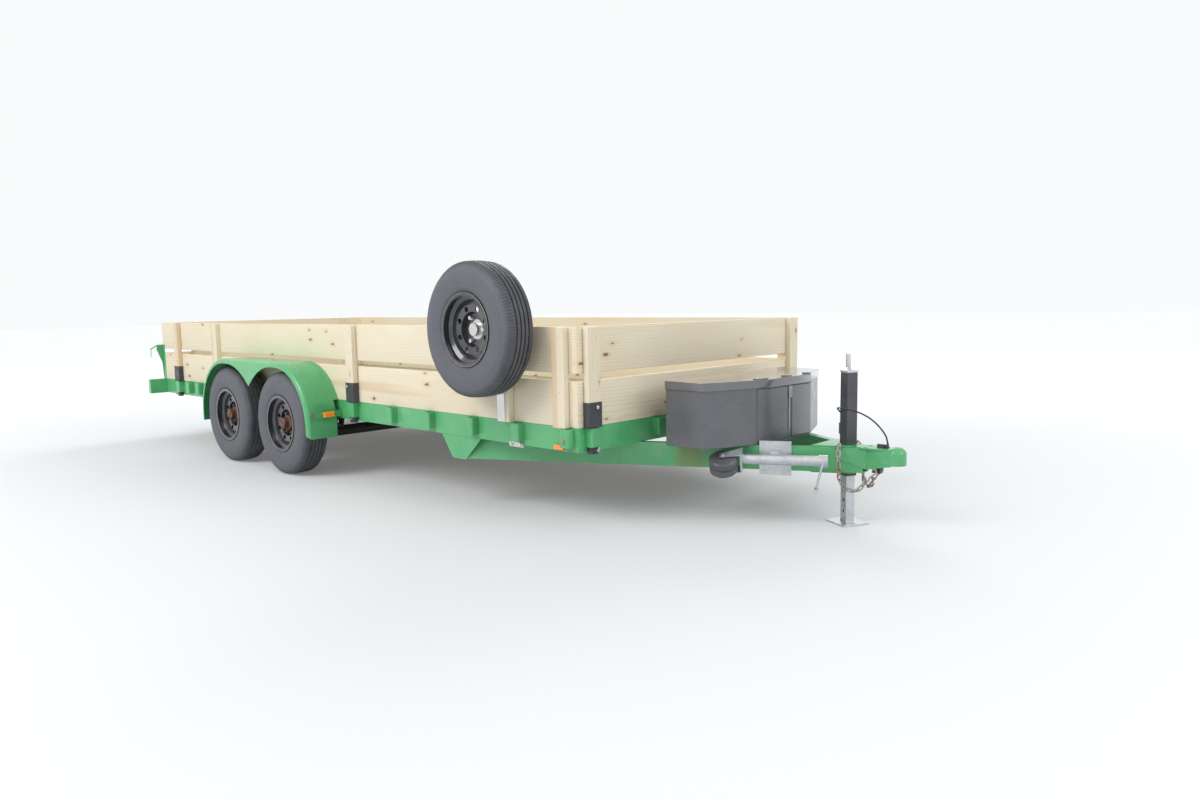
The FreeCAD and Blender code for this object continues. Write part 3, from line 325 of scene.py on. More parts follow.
# %% [markdown]
# ## Bare metals
#
# Galvanised steel shows its crystals as pale and dark cells, which a Voronoi pattern gives, while bright
# zinc is nearly even. The latches' zinc is darker, which paints in the shade that falls on them. The hubs
# and chains have rusted: brown and orange noise eats into the steel.


# %% Metals
def tinted(colour, share):
    """The colour with each of its parts multiplied by the share."""
    return tuple(share * part for part in colour)


def zinc_coated(name, light, dark, spangle, rough):
    """Zinc crystals: Voronoi cells whose own grey shifts the base colour and the surface's tilt."""
    material, tree, shader, coords = coated(name, light, dark, rough, metallic=0.85, wander=5.0)
    cells = node(tree, "ShaderNodeTexVoronoi", feature="F1", Vector=coords, Scale=spangle)
    grey = node(tree, "ShaderNodeSeparateColor", Color=cells.outputs["Color"])
    lay_over(tree, shader, grey.outputs[0], tinted(light, 0.55), [(0.1, 0.0), (0.9, 0.34)])
    bump(tree, shader, grey.outputs[1], 0.12, 0.0002)
    return material


galvanised = zinc_coated("galvanised_steel", (0.66, 0.68, 0.70), (0.50, 0.52, 0.54), 110.0, (0.32, 0.5))
zinc = zinc_coated("bright_zinc", (0.78, 0.78, 0.76), (0.62, 0.62, 0.60), 260.0, (0.2, 0.36))
# The latches' zinc is darkened to paint in the shade that they sit in.
shade_darkened_zinc = zinc_coated("zinc_darkened_by_painted_shade", (0.40, 0.40, 0.41), (0.25, 0.25, 0.26), 240.0, (0.34, 0.52))


def rusty_metal(name, bare, rust, deep, share, metallic, scale):
    """Bare metal with rust that grows by noise: orange at its edge, deep brown where it is old."""
    material, tree, shader, coords = coated(name, bare, tinted(bare, 0.7), (0.5, 0.8), metallic=metallic,
                                            wander=scale)
    eaten = noise(tree, coords, scale, 8.0, 0.68)
    lay_over(tree, shader, eaten, rust, [(share, 0.0), (share + 0.10, 1.0)])
    lay_over(tree, shader, eaten, deep, [(share + 0.10, 0.0), (share + 0.26, 0.9)])
    bump(tree, shader, eaten, 0.5, 0.0008)
    return material


rusty_hub = rusty_metal("rusty_hub", (0.24, 0.23, 0.22), (0.19, 0.085, 0.048), (0.080, 0.034, 0.022),
                        0.38, 0.3, 26.0)
chain_steel = rusty_metal("weathered_chain", (0.52, 0.49, 0.46), (0.34, 0.15, 0.07), (0.12, 0.055, 0.035),
                          0.50, 0.7, 38.0)
worn_enamel, *_ = coated("worn_rim_edge", (0.42, 0.38, 0.32), (0.16, 0.145, 0.13), (0.34, 0.50),
                         metallic=0.5, wander=16.0)
print("with metals", len(bpy.data.materials))

# %% [markdown]
# ## Lamp lenses
#
# The amber and red lenses are clear coloured plastic over a bright reflector. Letting light through a
# thin closed lens with nothing behind it looks black, so the colour is strong, the surface very smooth
# and a painted glow is given off in place of the reflector's light, with a fine ribbing as the inside of
# such a lens has.


# %% Lenses
def lens(name, colour, painted_glow):
    """Ribs from a wave along Y, between the colour and a darker tint of it."""
    material, tree, shader = new_material(name)
    ribs = node(tree, "ShaderNodeTexWave", wave_type="BANDS", bands_direction="Y", Vector=place_of(tree),
                Scale=60.0).outputs["Fac"]
    tone = ramp(tree, ribs, [(0.0, tinted(colour, 0.72)), (1.0, colour)])
    # The emission is a painted glow that stands in for light from the reflector.
    for key, value in (("Base Color", tone), ("Roughness", 0.10), ("Coat Weight", 0.8),
                       ("Emission Color", colour), ("Emission Strength", painted_glow)):
        feed(shader.inputs[key], value)
    bump(tree, shader, ribs, 0.3, 0.0006)
    return material


amber_lens = lens("amber_lens", (0.95, 0.26, 0.015), 0.25)
red_lens = lens("red_lens", (0.55, 0.012, 0.010), 0.08)
print("with lenses", len(bpy.data.materials))

# %% [markdown]
# ## Pine and deck boards
#
# A sawn board is cut from a log, so its pattern is the log's rings met by flat planes. Painting lines
# along the board would miss the end grain and the arches on wide faces. Here each board carries its own
# coordinates (along, across, through) as an attribute, shifted by a number of its own so that no two
# boards match. Rings run round a pith that lies beside the board, noise bends them, and knots are a few
# cells of a flat Voronoi pattern, which go through the board as a branch does, with a tan rim.


# %% Knots
def knots(tree):
    """Where knots may be, as 1 in a few cells, and the distance from the cell's middle less a size.

    Noise moves the pattern's coordinates about, so that the knots' outlines are ragged.
    """
    coords = place_of(tree, (3.4, 7.6, 7.6), "grain")
    ragged = node(tree, "ShaderNodeTexNoise", Vector=place_of(tree, attribute="grain"), Scale=34.0)
    moved = reckon(tree, "MULTIPLY_ADD", ragged.outputs["Color"], (0.09, 0.09, 0.0), coords, vector=True)
    cells = node(tree, "ShaderNodeTexVoronoi", feature="F1", voronoi_dimensions="2D", Vector=moved,
                 Scale=1.0)
    pick = node(tree, "ShaderNodeSeparateColor", Color=cells.outputs["Color"])
    far = reckon(tree, "MULTIPLY_ADD", pick.outputs[1], -0.055, cells.outputs["Distance"])
    return ramp(tree, pick.outputs[0], [(0.56, 0.0), (0.58, 1.0)]), far


# %% Wood
def sawn_wood(name, early, late, knot, age, streak, rough):
    """Early and late wood by rings and fibres, under clouds of age, streaks of heart wood and knots."""
    material, tree, shader = new_material(name)
    rings = node(tree, "ShaderNodeTexWave", wave_type="RINGS", rings_direction="X", wave_profile="SAW",
                 Vector=place_of(tree, (0.16, 1.0, 1.0), "grain"), Scale=21.0, Distortion=4.6, Detail=3.0,
                 **{"Detail Scale": 0.9, "Detail Roughness": 0.55}).outputs["Fac"]
    faint = noise(tree, place_of(tree, (0.5, 3.0, 3.0), "grain"), 1.0, 2.0)
    line = mix(tree, ramp(tree, faint, [(0.35, 0.12), (0.65, 0.75)]), BLACK,
               ramp(tree, rings, [(0.45, 0.0), (0.92, 1.0), (1.0, 0.0)]))
    feed(shader.inputs["Base Color"], mix(tree, line, early, late))
    fibre = noise(tree, place_of(tree, (3.0, 160.0, 160.0), "grain"), 1.0, 4.0, 0.6)
    lay_over(tree, shader, fibre, late, [(0.40, 0.0), (0.80, 0.35)])
    cloud = noise(tree, place_of(tree, (0.9, 2.2, 2.2), "grain"), 1.6, 4.0, 0.6)
    lay_over(tree, shader, cloud, age, [(0.42, 0.0), (0.78, 0.55)])
    heart = noise(tree, place_of(tree, (0.30, 8.0, 8.0), "grain"), 1.0, 2.0, 0.45)
    lay_over(tree, shader, heart, streak, [(0.55, 0.0), (0.66, 0.60)])
    chosen, far = knots(tree)
    for colour, stops in ((streak, [(0.02, 0.55), (0.15, 0.0)]), (knot, [(-0.015, 0.85), (0.032, 0.0)])):
        lay_over(tree, shader, mix(tree, chosen, BLACK, ramp(tree, far, stops)), colour)
    feed(shader.inputs["Roughness"], ramp(tree, fibre, [(0.3, rough), (0.7, rough + 0.14)]))
    feed(shader.inputs["Specular IOR Level"], 0.3)
    bump(tree, shader, fibre, 0.30, 0.0006)
    bump(tree, shader, rings, 0.08, 0.0005)
    return material


pine = sawn_wood("new_pine", (0.860, 0.780, 0.610), (0.760, 0.620, 0.410), (0.160, 0.090, 0.055),
                 (0.770, 0.650, 0.440), (0.720, 0.490, 0.280), 0.55)
deck_wood = sawn_wood("treated_deck", (0.560, 0.475, 0.325), (0.400, 0.310, 0.190), (0.120, 0.070, 0.040),
                      (0.420, 0.385, 0.320), (0.380, 0.270, 0.160), 0.68)
print("with woods", len(bpy.data.materials))

# %% [markdown]
# ## Tyre rubber
#
# Rubber is nearly black, matt and slightly blue-grey where dust clings. Fine rings on the side wall come
# from the mould, and thin dark rings are painted shade in the creases of its moulded steps. They follow
# the wheel, so the tyre's mesh stores the radius and the place across the width as an attribute, and the
# material reads rings from that.

# %% Rubber
CREASE_SHADE_RINGS = (0.2215, 0.2290, 0.2630, 0.3000, 0.3075)
CREASE_SHADE_HALF = 0.0012
FINE_RINGS = 2600.0


def tyre_rubber():
    """Matt black with a paler side wall, a sine of the radius as fine rings, painted crease shade and
    dust.
    """
    material, tree, shader, coords = coated("tyre_rubber", (0.092, 0.094, 0.106), (0.066, 0.067, 0.076),
                                            (0.50, 0.70), wander=11.0)
    section = node(tree, "ShaderNodeSeparateXYZ", Vector=place_of(tree, attribute="section"))
    radius = section.outputs[0]
    bump(tree, shader, reckon(tree, "SINE", reckon(tree, "MULTIPLY", radius, FINE_RINGS)), 0.18, 0.0003)
    lay_over(tree, shader, radius, (0.135, 0.140, 0.160),
             [(0.200, 0.0), (0.215, 0.60), (0.318, 0.70), (0.345, 0.0)])
    # Painted shade: thin dark rings where the moulded steps of the side wall fold.
    lay_over(tree, shader, radius, (0.050, 0.051, 0.058),
             [stop for ring in CREASE_SHADE_RINGS
              for stop in ((ring - CREASE_SHADE_HALF, 0.0), (ring, 0.55), (ring + CREASE_SHADE_HALF, 0.0))])
    lay_over(tree, shader, noise(tree, coords, 14.0, 6.0, 0.7), (0.160, 0.155, 0.158),
             [(0.50, 0.0), (0.80, 0.30)])
    return material


rubber = tyre_rubber()
print("all finishes", len(bpy.data.materials))

# %% [markdown]
# ## Dress the CAD nodes
#
# Each node already names the finish it should have. The table below gives that finish its material, so
# that a node which keeps its own shape is dressed by one assignment. A few nodes have a finish of their
# own within that name, such as the stained tongue.

# %% Materials by slot
FINISH = {"green_paint": green, "chassis_black": chassis_black, "wheel_black": wheel_black,
          "socket_black": socket_black, "deck_wood": deck_wood, "pine_wood": pine, "tyre": rubber,
          "rusty_hub": rusty_hub, "chain_steel": chain_steel, "zinc": zinc, "galvanised": galvanised,
          "box_plastic": box_plastic, "caster_plastic": caster_plastic, "cable_rubber": cable_rubber,
          "amber_lens": amber_lens, "red_lens": red_lens}
# The latches take the zinc that is darkened as painted shade.
OWN_FINISH = {"tongue_channels": tongue_green, "jack_tube": tube_black, "toolbox_lid": lid_plastic,
              "toolbox_latches": shade_darkened_zinc}


def finish_of(name):
    """The node's own finish, or else the one that its slot names."""
    return OWN_FINISH.get(name, FINISH[SLOT_OF[name]])


for name, obj in NODES.items():
    obj.data.materials.clear()
    obj.data.materials.append(finish_of(name))
print("dressed", len(NODES), "nodes in", len(set(SLOT_OF.values())), "slots")

# %% [markdown]
# ## Read solids back from a node
#
# A node's mesh is loose triangles. To rework a node's solids, such as its boards, the corners that lie in
# one place are merged, and the triangles that share corners are gathered into solids. That gathering is
# a flood fill: every triangle's corners take the lowest label among them until nothing changes.

# %% Solids of a node
MERGE = 2e-5


def solids_of(name):
    """Each solid of a node as merged corners and triangles, in order of its lowest corner's label."""
    mesh = NODES[name].data
    places = np.empty(len(mesh.vertices) * 3)
    mesh.vertices.foreach_get("co", places)
    places = places.reshape(-1, 3)
    mesh.calc_loop_triangles()
    triangles = np.empty(len(mesh.loop_triangles) * 3, dtype=np.int64)
    mesh.loop_triangles.foreach_get("vertices", triangles)
    grid = np.round(places / MERGE).astype(np.int64)
    _, first, inverse = np.unique(grid, axis=0, return_index=True, return_inverse=True)
    corners = places[first]
    triangles = inverse.reshape(-1)[triangles].reshape(-1, 3)
    labels = np.arange(len(corners))
    while True:
        lowest = labels[triangles].min(axis=1)
        after = labels.copy()
        np.minimum.at(after, triangles.reshape(-1), np.repeat(lowest, 3))
        if np.array_equal(after, labels):
            break
        labels = after
    pieces = []
    for label in np.unique(labels[triangles[:, 0]]):
        mine = triangles[labels[triangles[:, 0]] == label]
        used, local = np.unique(mine, return_inverse=True)
        pieces.append((corners[used], local.reshape(-1, 3)))
    return pieces


print("boards on the sides", len(solids_of("side_boards")))

# %% [markdown]
# ## Make a piece from numbers
#
# Every new piece below is a grid of places: rings of points that follow one another. It could be built
# from primitives and edited, but a grid keeps the shape's formula in sight. A few helpers turn grids
# into meshes, put a piece on the body of the node it stands for, and hide that node.

# %% Meshes that stand for nodes
SMOOTH_BELOW = math.radians(38.0)


def add_mesh(name, corners, groups, material, attributes=None):
    """An object at the origin from corners and groups of faces, with per-corner vectors under names."""
    mesh = bpy.data.meshes.new(name)
    mesh.from_pydata(np.asarray(corners).tolist(), [], sum((group.tolist() for group in groups), []))
    mesh.materials.append(material)
    for key, values in (attributes or {}).items():
        stored = mesh.attributes.new(key, "FLOAT_VECTOR", "POINT")
        stored.data.foreach_set("vector", np.asarray(values, dtype=np.float32).reshape(-1))
    mesh.shade_smooth()
    mesh.set_sharp_from_angle(angle=SMOOTH_BELOW)
    return placed(name, mesh)


def stands_for(obj, name):
    """The piece rides on the node's body, and the node isn't shown any more."""
    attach(obj, BODY_OF[name])
    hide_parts(name)
    return obj


# %% Faces of grids
def joined(shapes):
    """Several shapes of (corners, groups of faces) as one, with the faces' corner numbers moved on."""
    starts = np.cumsum([0] + [len(corners) for corners, _ in shapes[:-1]])
    corners = np.concatenate([corners for corners, _ in shapes])
    return corners, [group + start for (_, groups), start in zip(shapes, starts) for group in groups]


def grid_faces(rings, count, closed=False):
    """Four-sided faces between rings of count points; if closed, the last ring also joins the first."""
    ring, point = np.meshgrid(np.arange(rings if closed else rings - 1), np.arange(count), indexing="ij")
    ahead = (ring + 1) % rings
    beside = (point + 1) % count
    return np.stack([ring * count + point, ring * count + beside, ahead * count + beside,
                     ahead * count + point], axis=-1).reshape(-1, 4)


def capped(rings):
    """A shape from rings of points, with a fan round each end ring's middle, facing outwards."""
    stations, count, _ = rings.shape
    here = np.arange(count)
    beside = (here + 1) % count
    last = (stations - 1) * count
    middle = np.full(count, stations * count)
    corners = np.concatenate([rings.reshape(-1, 3), [rings[0].mean(axis=0), rings[-1].mean(axis=0)]])
    return corners, [grid_faces(stations, count), np.stack([beside, here, middle], axis=1),
                     np.stack([last + here, last + beside, middle + 1], axis=1)]


# %% [markdown]
# ## Boards, planks and posts
#
# A sawn board is a box with eased edges. A bevel on a cube would do, but the grain needs to know which
# way the board runs, so the board is a rounded outline carried along its length. The outline is a
# rectangle whose corners are quarter circles. A millimetre of bow, always inward, keeps long edges from
# looking ruled.

# %% Board outline and grain
EASE = 0.0035
CORNER_STEPS = 3


def rounded_outline(half_a, half_b):
    """Corner quarter circles of a rectangle: signs (a, b) times (half - radius) plus the arc's point."""
    quarter = np.linspace(0.0, math.pi / 2, CORNER_STEPS + 1)
    points = []
    for index, (sign_a, sign_b) in enumerate(((1, 1), (-1, 1), (-1, -1), (1, -1))):
        angle = quarter + index * math.pi / 2
        points.append(np.stack([sign_a * (half_a - EASE) + EASE * np.cos(angle),
                                sign_b * (half_b - EASE) + EASE * np.sin(angle)], axis=1))
    return np.concatenate(points)


def place_in_log(seed):
    """Where a board was cut: its own stretch along the log, and 1 to 11 cm beside the log's middle."""
    return np.array([1.37 * seed, 0.06 + 0.05 * math.sin(5.1 * seed), 0.05 + 0.04 * math.cos(3.3 * seed)])


# %% Board surface
BOW = 0.0012
BOW_SHIFT = 0.8
STATION_GAP = 0.35
# Axes along, across and through, by number, for which the rings run the other way round.
REVERSED = ((0, 2, 1), (1, 0, 2), (2, 1, 0))


def board(low, high, seed):
    """One board: its rounded outline at stations along the longest side, and its grain coordinates.

    A station's outline is drawn in by the edge radius at both ends, and shifted by a bow that is a half
    sine along the length, so that the ends stay in place and nothing leaves the solid's box.
    """
    low, high = np.asarray(low), np.asarray(high)
    size = high - low
    along, through = int(np.argmax(size)), int(np.argmin(size))
    across = 3 - along - through
    stations = max(4, int(size[along] / STATION_GAP) + 2)
    run = np.concatenate([[0.0, EASE], np.linspace(0.0, 1.0, stations)[1:-1] * size[along],
                          [size[along] - EASE, size[along]]])
    inset = np.where((run > 0.0) & (run < size[along]), 0.0, EASE)[:, None]
    swell = np.sin(np.pi * run / size[along])[:, None]
    outline = rounded_outline(size[across] / 2, size[through] / 2)
    centre = (low + high) / 2
    thinner = 1 - 2 * (inset + BOW * swell) / size[through]
    rings = np.empty((len(run), len(outline), 3))
    rings[:, :, along] = low[along] + run[:, None]
    rings[:, :, across] = centre[across] + outline[:, 0] * (1 - 2 * inset / size[across])
    rings[:, :, through] = (centre[through] + outline[:, 1] * thinner
                            + BOW_SHIFT * BOW * math.sin(2.4 * seed) * swell)
    corners, groups = capped(rings)
    if (along, across, through) in REVERSED:
        groups = [group[:, ::-1] for group in groups]
    return corners, groups, (corners - low)[:, [along, across, through]] + place_in_log(seed)


def boards_for(name, first_seed):
    """All boards of a node in one piece, each with its own grain."""
    sawn = [board(corners.min(axis=0), corners.max(axis=0), first_seed + index)
            for index, (corners, _) in enumerate(solids_of(name))]
    corners, groups = joined([part[:2] for part in sawn])
    grain = np.concatenate([part[2] for part in sawn])
    obj = add_mesh(name + "_sawn", corners, groups, finish_of(name), {"grain": grain})
    return stands_for(obj, name)


for seed, name in ((3, "side_boards"), (17, "front_boards"), (29, "rear_boards"), (41, "stake_posts"),
                   (67, "deck_planks")):
    made = boards_for(name, seed)
    print(name, "boards", len(made.data.polygons), "faces")

# %% [markdown]
# ## Tyres
#
# The CAD tyre has the right width, height and section, but a smooth crown. Cutting grooves from it with
# booleans is slow and messy. A tyre is a surface of two parameters, the angle round the wheel and the
# place along the section, so grooves are just places on that grid where the radius is smaller: four
# grooves run round the crown, and narrow slots cross the ribs at a steady angle.


# %% Tyre section
tyre_low, tyre_high = (np.array(corner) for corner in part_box("tyre_front_right"))
TYRE_R = (tyre_high[2] - tyre_low[2]) / 2
TYRE_HALF = (tyre_high[1] - tyre_low[1]) / 2
TREAD_HALF = 0.64 * TYRE_HALF
CROWN_DROP = 0.0035
GROOVES = (-0.0400, -0.0135, 0.0135, 0.0400)
GROOVE_ROWS = (-0.0054, -0.0042, 0.0, 0.0042, 0.0054)
RIB_ROWS = (0.0, 0.0268, 0.050, 0.055, TREAD_HALF)
WALL_ROWS = 26
SHOULDER_ROWS = 6

# From the bead, beside the rim's flange, over the bulge to the shoulder: radius, share of half width.
SIDE_WALL = ((0.1908, 0.832), (0.1960, 0.850), (0.2010, 0.880), (0.2100, 0.925), (0.2250, 0.960),
             (0.2300, 0.975), (0.2340, 0.968), (0.2450, 0.982), (0.2700, 1.000), (0.2900, 0.992),
             (0.2990, 0.984), (0.3030, 0.972), (0.3060, 0.962), (0.3200, 0.925), (0.3320, 0.875),
             (0.3420, 0.815), (0.3490, 0.755), (0.3540, 0.700))
INNER_WALL = ((0.1906, -0.60), (0.2876, -0.90), (0.3307, -0.70), (0.3330, 0.0), (0.3307, 0.70),
              (0.2876, 0.90), (0.1906, 0.60))


def smooth_line(points, count):
    """A curve through points: running length is the parameter, and each part is a cubic whose end
    slopes come from its neighbours."""
    points = np.asarray(points, dtype=float)
    steps = np.concatenate([[0.0], np.cumsum(np.linalg.norm(np.diff(points, axis=0), axis=1))])
    slopes = np.gradient(points, steps, axis=0)
    at = np.linspace(0.0, steps[-1], count)
    index = np.clip(np.searchsorted(steps, at, side="right") - 1, 0, len(points) - 2)
    width = (steps[index + 1] - steps[index])[:, None]
    t = (at - steps[index])[:, None] / width
    start, end = points[index], points[index + 1]
    leave, arrive = slopes[index] * width, slopes[index + 1] * width
    return ((2 * t ** 3 - 3 * t ** 2 + 1) * start + (t ** 3 - 2 * t ** 2 + t) * leave
            + (3 * t ** 2 - 2 * t ** 3) * end + (t ** 3 - t ** 2) * arrive)


def tyre_section():
    """The closed section as (radius, across) rows, and which rows belong to the tread."""
    wall = smooth_line(np.array(SIDE_WALL) * (1, TYRE_HALF), WALL_ROWS)
    edges = [centre + step for centre in GROOVES for step in GROOVE_ROWS]
    ribs = [-row for row in RIB_ROWS[1:]] + list(RIB_ROWS)
    across = np.sort(np.array(edges + ribs))[::-1]
    crown = np.stack([TYRE_R - CROWN_DROP * (across / TREAD_HALF) ** 2, across], axis=1)
    section = np.concatenate([wall, crown, wall[::-1] * (1, -1), np.array(INNER_WALL) * (1, TYRE_HALF)])
    rows = np.arange(len(section))
    tread = (rows >= len(wall) - SHOULDER_ROWS) & (rows < len(wall) + len(crown) + SHOULDER_ROWS)
    return section, tread


print("section rows", len(tyre_section()[0]), "radius", round(TYRE_R, 4))

# %% Tyre surface
GROOVE_HALF = 0.0046
GROOVE_SLOPE = 0.0005
GROOVE_DEEP = 0.0085
PITCHES = 128
# Each pitch has five columns, at these shares of it; those that are open are the floor of its slot.
SLOT_SHARES = np.array([0.0, 0.03, 0.12, 0.15, 0.57])
SLOT_OPEN = np.array([0.0, 1.0, 1.0, 0.0, 0.0])
SLOT_LEAN = 0.30
RIB_SLOT = 0.0006
SHOULDER_SLOT = 0.0030
RIB_EDGE = 0.048
BITE_END = 0.330
BITE_RUN = 0.022


def tyre_surface():
    """The point is (radius sin a, across, radius cos a), with radius = section radius - the deeper cut.

    A groove is a band round the crown. The columns of the grid come in groups, one for each pitch, whose
    second and third column are the floor of a slot. Each row is turned by lean |across| / wheel radius,
    so the slots lean and their edges stay crisp. Over the shoulder a slot bites sideways and runs out.
    """
    section, tread = tyre_section()
    width = np.abs(section[:, 1])
    base = ((np.arange(PITCHES)[:, None] + SLOT_SHARES) * 2 * math.pi / PITCHES).ravel()
    opened = np.tile(SLOT_OPEN, PITCHES)[:, None]
    angle = base[:, None] + SLOT_LEAN * np.minimum(width, TREAD_HALF) / TYRE_R
    nearest = np.min(np.abs(section[:, 1][:, None] - np.array(GROOVES)), axis=1)
    groove = np.clip((GROOVE_HALF + GROOVE_SLOPE - nearest) / (2 * GROOVE_SLOPE), 0, 1) * tread
    crown = tread & (width <= TREAD_HALF + 1e-6)
    slot = np.where(width > RIB_EDGE, SHOULDER_SLOT, RIB_SLOT) * crown
    bite = SHOULDER_SLOT * (tread & ~crown) * np.clip((section[:, 0] - BITE_END) / BITE_RUN, 0, 1)
    radius = section[:, 0] - np.maximum(groove * GROOVE_DEEP, opened * slot * (groove == 0))
    across = np.sign(section[:, 1]) * (width - opened * bite)
    corners = np.stack([radius * np.sin(angle), across, radius * np.cos(angle)], axis=-1)
    stored = np.stack([radius, across, angle], axis=-1)
    return corners.reshape(-1, 3), grid_faces(len(base), len(section), closed=True), stored.reshape(-1, 3)


tyre_corners, tyre_faces, tyre_stored = tyre_surface()
WHEEL_MIDDLE = {name: np.array(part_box(name)).mean(axis=0) for name in NODES if "tyre" in name}
for name, middle in WHEEL_MIDDLE.items():
    made = add_mesh(name + "_tread", tyre_corners + middle, [tyre_faces], rubber,
                    {"section": tyre_stored})
    stands_for(made, name)
print("tyres", len(WHEEL_MIDDLE), "of", len(tyre_faces), "faces")

# %% [markdown]
# ## Eased edges on steel and plastic
#
# Real folded steel and moulded plastic have no knife edges, and it is the thin highlight along an eased
# edge that makes them look real. The node's mesh is left alone: a copy is merged, its flat areas are
# made single faces again, and a bevel eases what is left. The bevel only cuts inwards, so sizes stay.


# %% Eased copy of a node
FLAT_WITHIN = math.radians(0.6)
SHARP_ABOVE = math.radians(32.0)


def eased(name, width, segments):
    """A merged copy of a node whose sharp edges are rounded by a bevel of that width."""
    solid = bmesh.new()
    for corners, triangles in solids_of(name):
        made = [solid.verts.new(corner) for corner in corners]
        for triangle in triangles:
            try:
                solid.faces.new([made[index] for index in triangle])
            except ValueError:
                continue
    bmesh.ops.dissolve_limit(solid, angle_limit=FLAT_WITHIN, verts=solid.verts, edges=solid.edges)
    bmesh.ops.recalc_face_normals(solid, faces=solid.faces)
    mesh = bpy.data.meshes.new(name + "_eased")
    solid.to_mesh(mesh)
    solid.free()
    mesh.materials.append(finish_of(name))
    mesh.shade_smooth()
    obj = placed(name + "_eased", mesh)
    rounding = obj.modifiers.new("edge", "BEVEL")
    rounding.width = width
    rounding.segments = segments
    rounding.limit_method = "ANGLE"
    rounding.angle_limit = SHARP_ABOVE
    rounding.harden_normals = True
    rounding.use_clamp_overlap = True
    return stands_for(obj, name)


EASED = (("toolbox_body", 0.0045, 3), ("toolbox_lid", 0.0040, 3), ("jack_tube", 0.0040, 3),
         ("jack_leg", 0.0020, 2), ("post_sockets", 0.0014, 2), ("side_rails", 0.0020, 2),
         ("front_header", 0.0020, 2), ("rear_bumper", 0.0016, 2), ("tongue_channels", 0.0020, 2),
         ("tongue_plates", 0.0012, 2), ("tongue_gussets", 0.0010, 2), ("coupler", 0.0012, 2),
         ("fender_bars", 0.0010, 2), ("toolbox_latches", 0.0008, 2), ("rear_uprights", 0.0008, 2),
         ("swivel_bracket", 0.0010, 2), ("breakaway_switch", 0.0030, 3))
for name, width, segments in EASED:
    eased(name, width, segments)
print("eased", len(EASED))

# %% [markdown]
# ## Turned and bent pieces
#
# Bolt heads, screws, valve stems and strain reliefs are turned shapes: a profile of radius and height,
# carried round an axis. A hexagon is the same with a radius that depends on the angle. The chains' hooks
# are bent wire: a circle carried along a line. Both are grids, so one function each makes all of them.


# %% Turned shapes
def frame_of(axis):
    """Two unit vectors at right angles to the axis, and the axis itself, as a right-handed set."""
    axis = np.asarray(axis, dtype=float)
    axis = axis / np.linalg.norm(axis)
    helper = np.array([0.0, 0.0, 1.0]) if abs(axis[2]) < 0.9 else np.array([1.0, 0.0, 0.0])
    first = np.cross(helper, axis)
    first = first / np.linalg.norm(first)
    return first, np.cross(axis, first), axis


def turned(profile, place, axis, around=24, six_sided=()):
    """The point at angle a and profile row (r, h) is place + r (first cos a + second sin a) + h axis.

    Rows numbered in six_sided have the radius of a hexagon: r cos 30 / cos(a folded into one side).
    """
    first, second, along = frame_of(axis)
    angle = np.arange(around) * 2 * math.pi / around
    folded = (angle + math.pi / 6) % (math.pi / 3) - math.pi / 6
    flat = math.cos(math.pi / 6) / np.cos(folded)
    rings = []
    for row, (radius, height) in enumerate(profile):
        reach = (radius * (flat if row in six_sided else np.ones(around)))[:, None]
        rings.append(place + reach * (np.cos(angle)[:, None] * first + np.sin(angle)[:, None] * second)
                     + height * along)
    return capped(np.array(rings))


# %% Bent wire
WIRE_AROUND = 10
WIRE_RINGS = 56
TIP_SHARE = 0.02
TIP_SMALLEST = 0.06


def bent_wire(points, radius):
    """A round wire along a smooth line in one plane: the line + radius (side cos a - flat sin a).

    Near an end the radius shrinks with the square root of the way left, which rounds the tip.
    """
    line = smooth_line(points, WIRE_RINGS)
    ahead = np.gradient(line, axis=0)
    ahead /= np.linalg.norm(ahead, axis=1)[:, None]
    flat = np.cross(line[WIRE_RINGS // 3] - line[0], line[2 * WIRE_RINGS // 3] - line[0])
    flat /= np.linalg.norm(flat)
    side = np.cross(ahead, flat)
    gone = np.linspace(0.0, 1.0, WIRE_RINGS)
    tip = np.sqrt(np.clip(np.minimum(gone, 1 - gone) / TIP_SHARE, TIP_SMALLEST, 1.0))[:, None, None]
    angle = np.arange(WIRE_AROUND) * 2 * math.pi / WIRE_AROUND
    spoke = np.cos(angle)[None, :, None] * side[:, None, :] - np.sin(angle)[None, :, None] * flat
    return capped(line[:, None, :] + radius * tip * spoke)


def fitted(name, shapes, material, body):
    """One piece from several shapes that rides on a body."""
    corners, groups = joined(shapes)
    obj = add_mesh(name, corners, groups, material)
    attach(obj, body)
    return obj


# %% [markdown]
# ## Safety chains
#
# A welded link is a round bar bent into a stadium. The CAD links have few sides, so each is drawn again:
# the link's own three directions come from the spread of its corners, found by a singular value
# decomposition, and the stadium is carried round them. Each chain ends in a hook over the bar under the
# coupler.


# %% Chain links
LINK_AROUND = 28


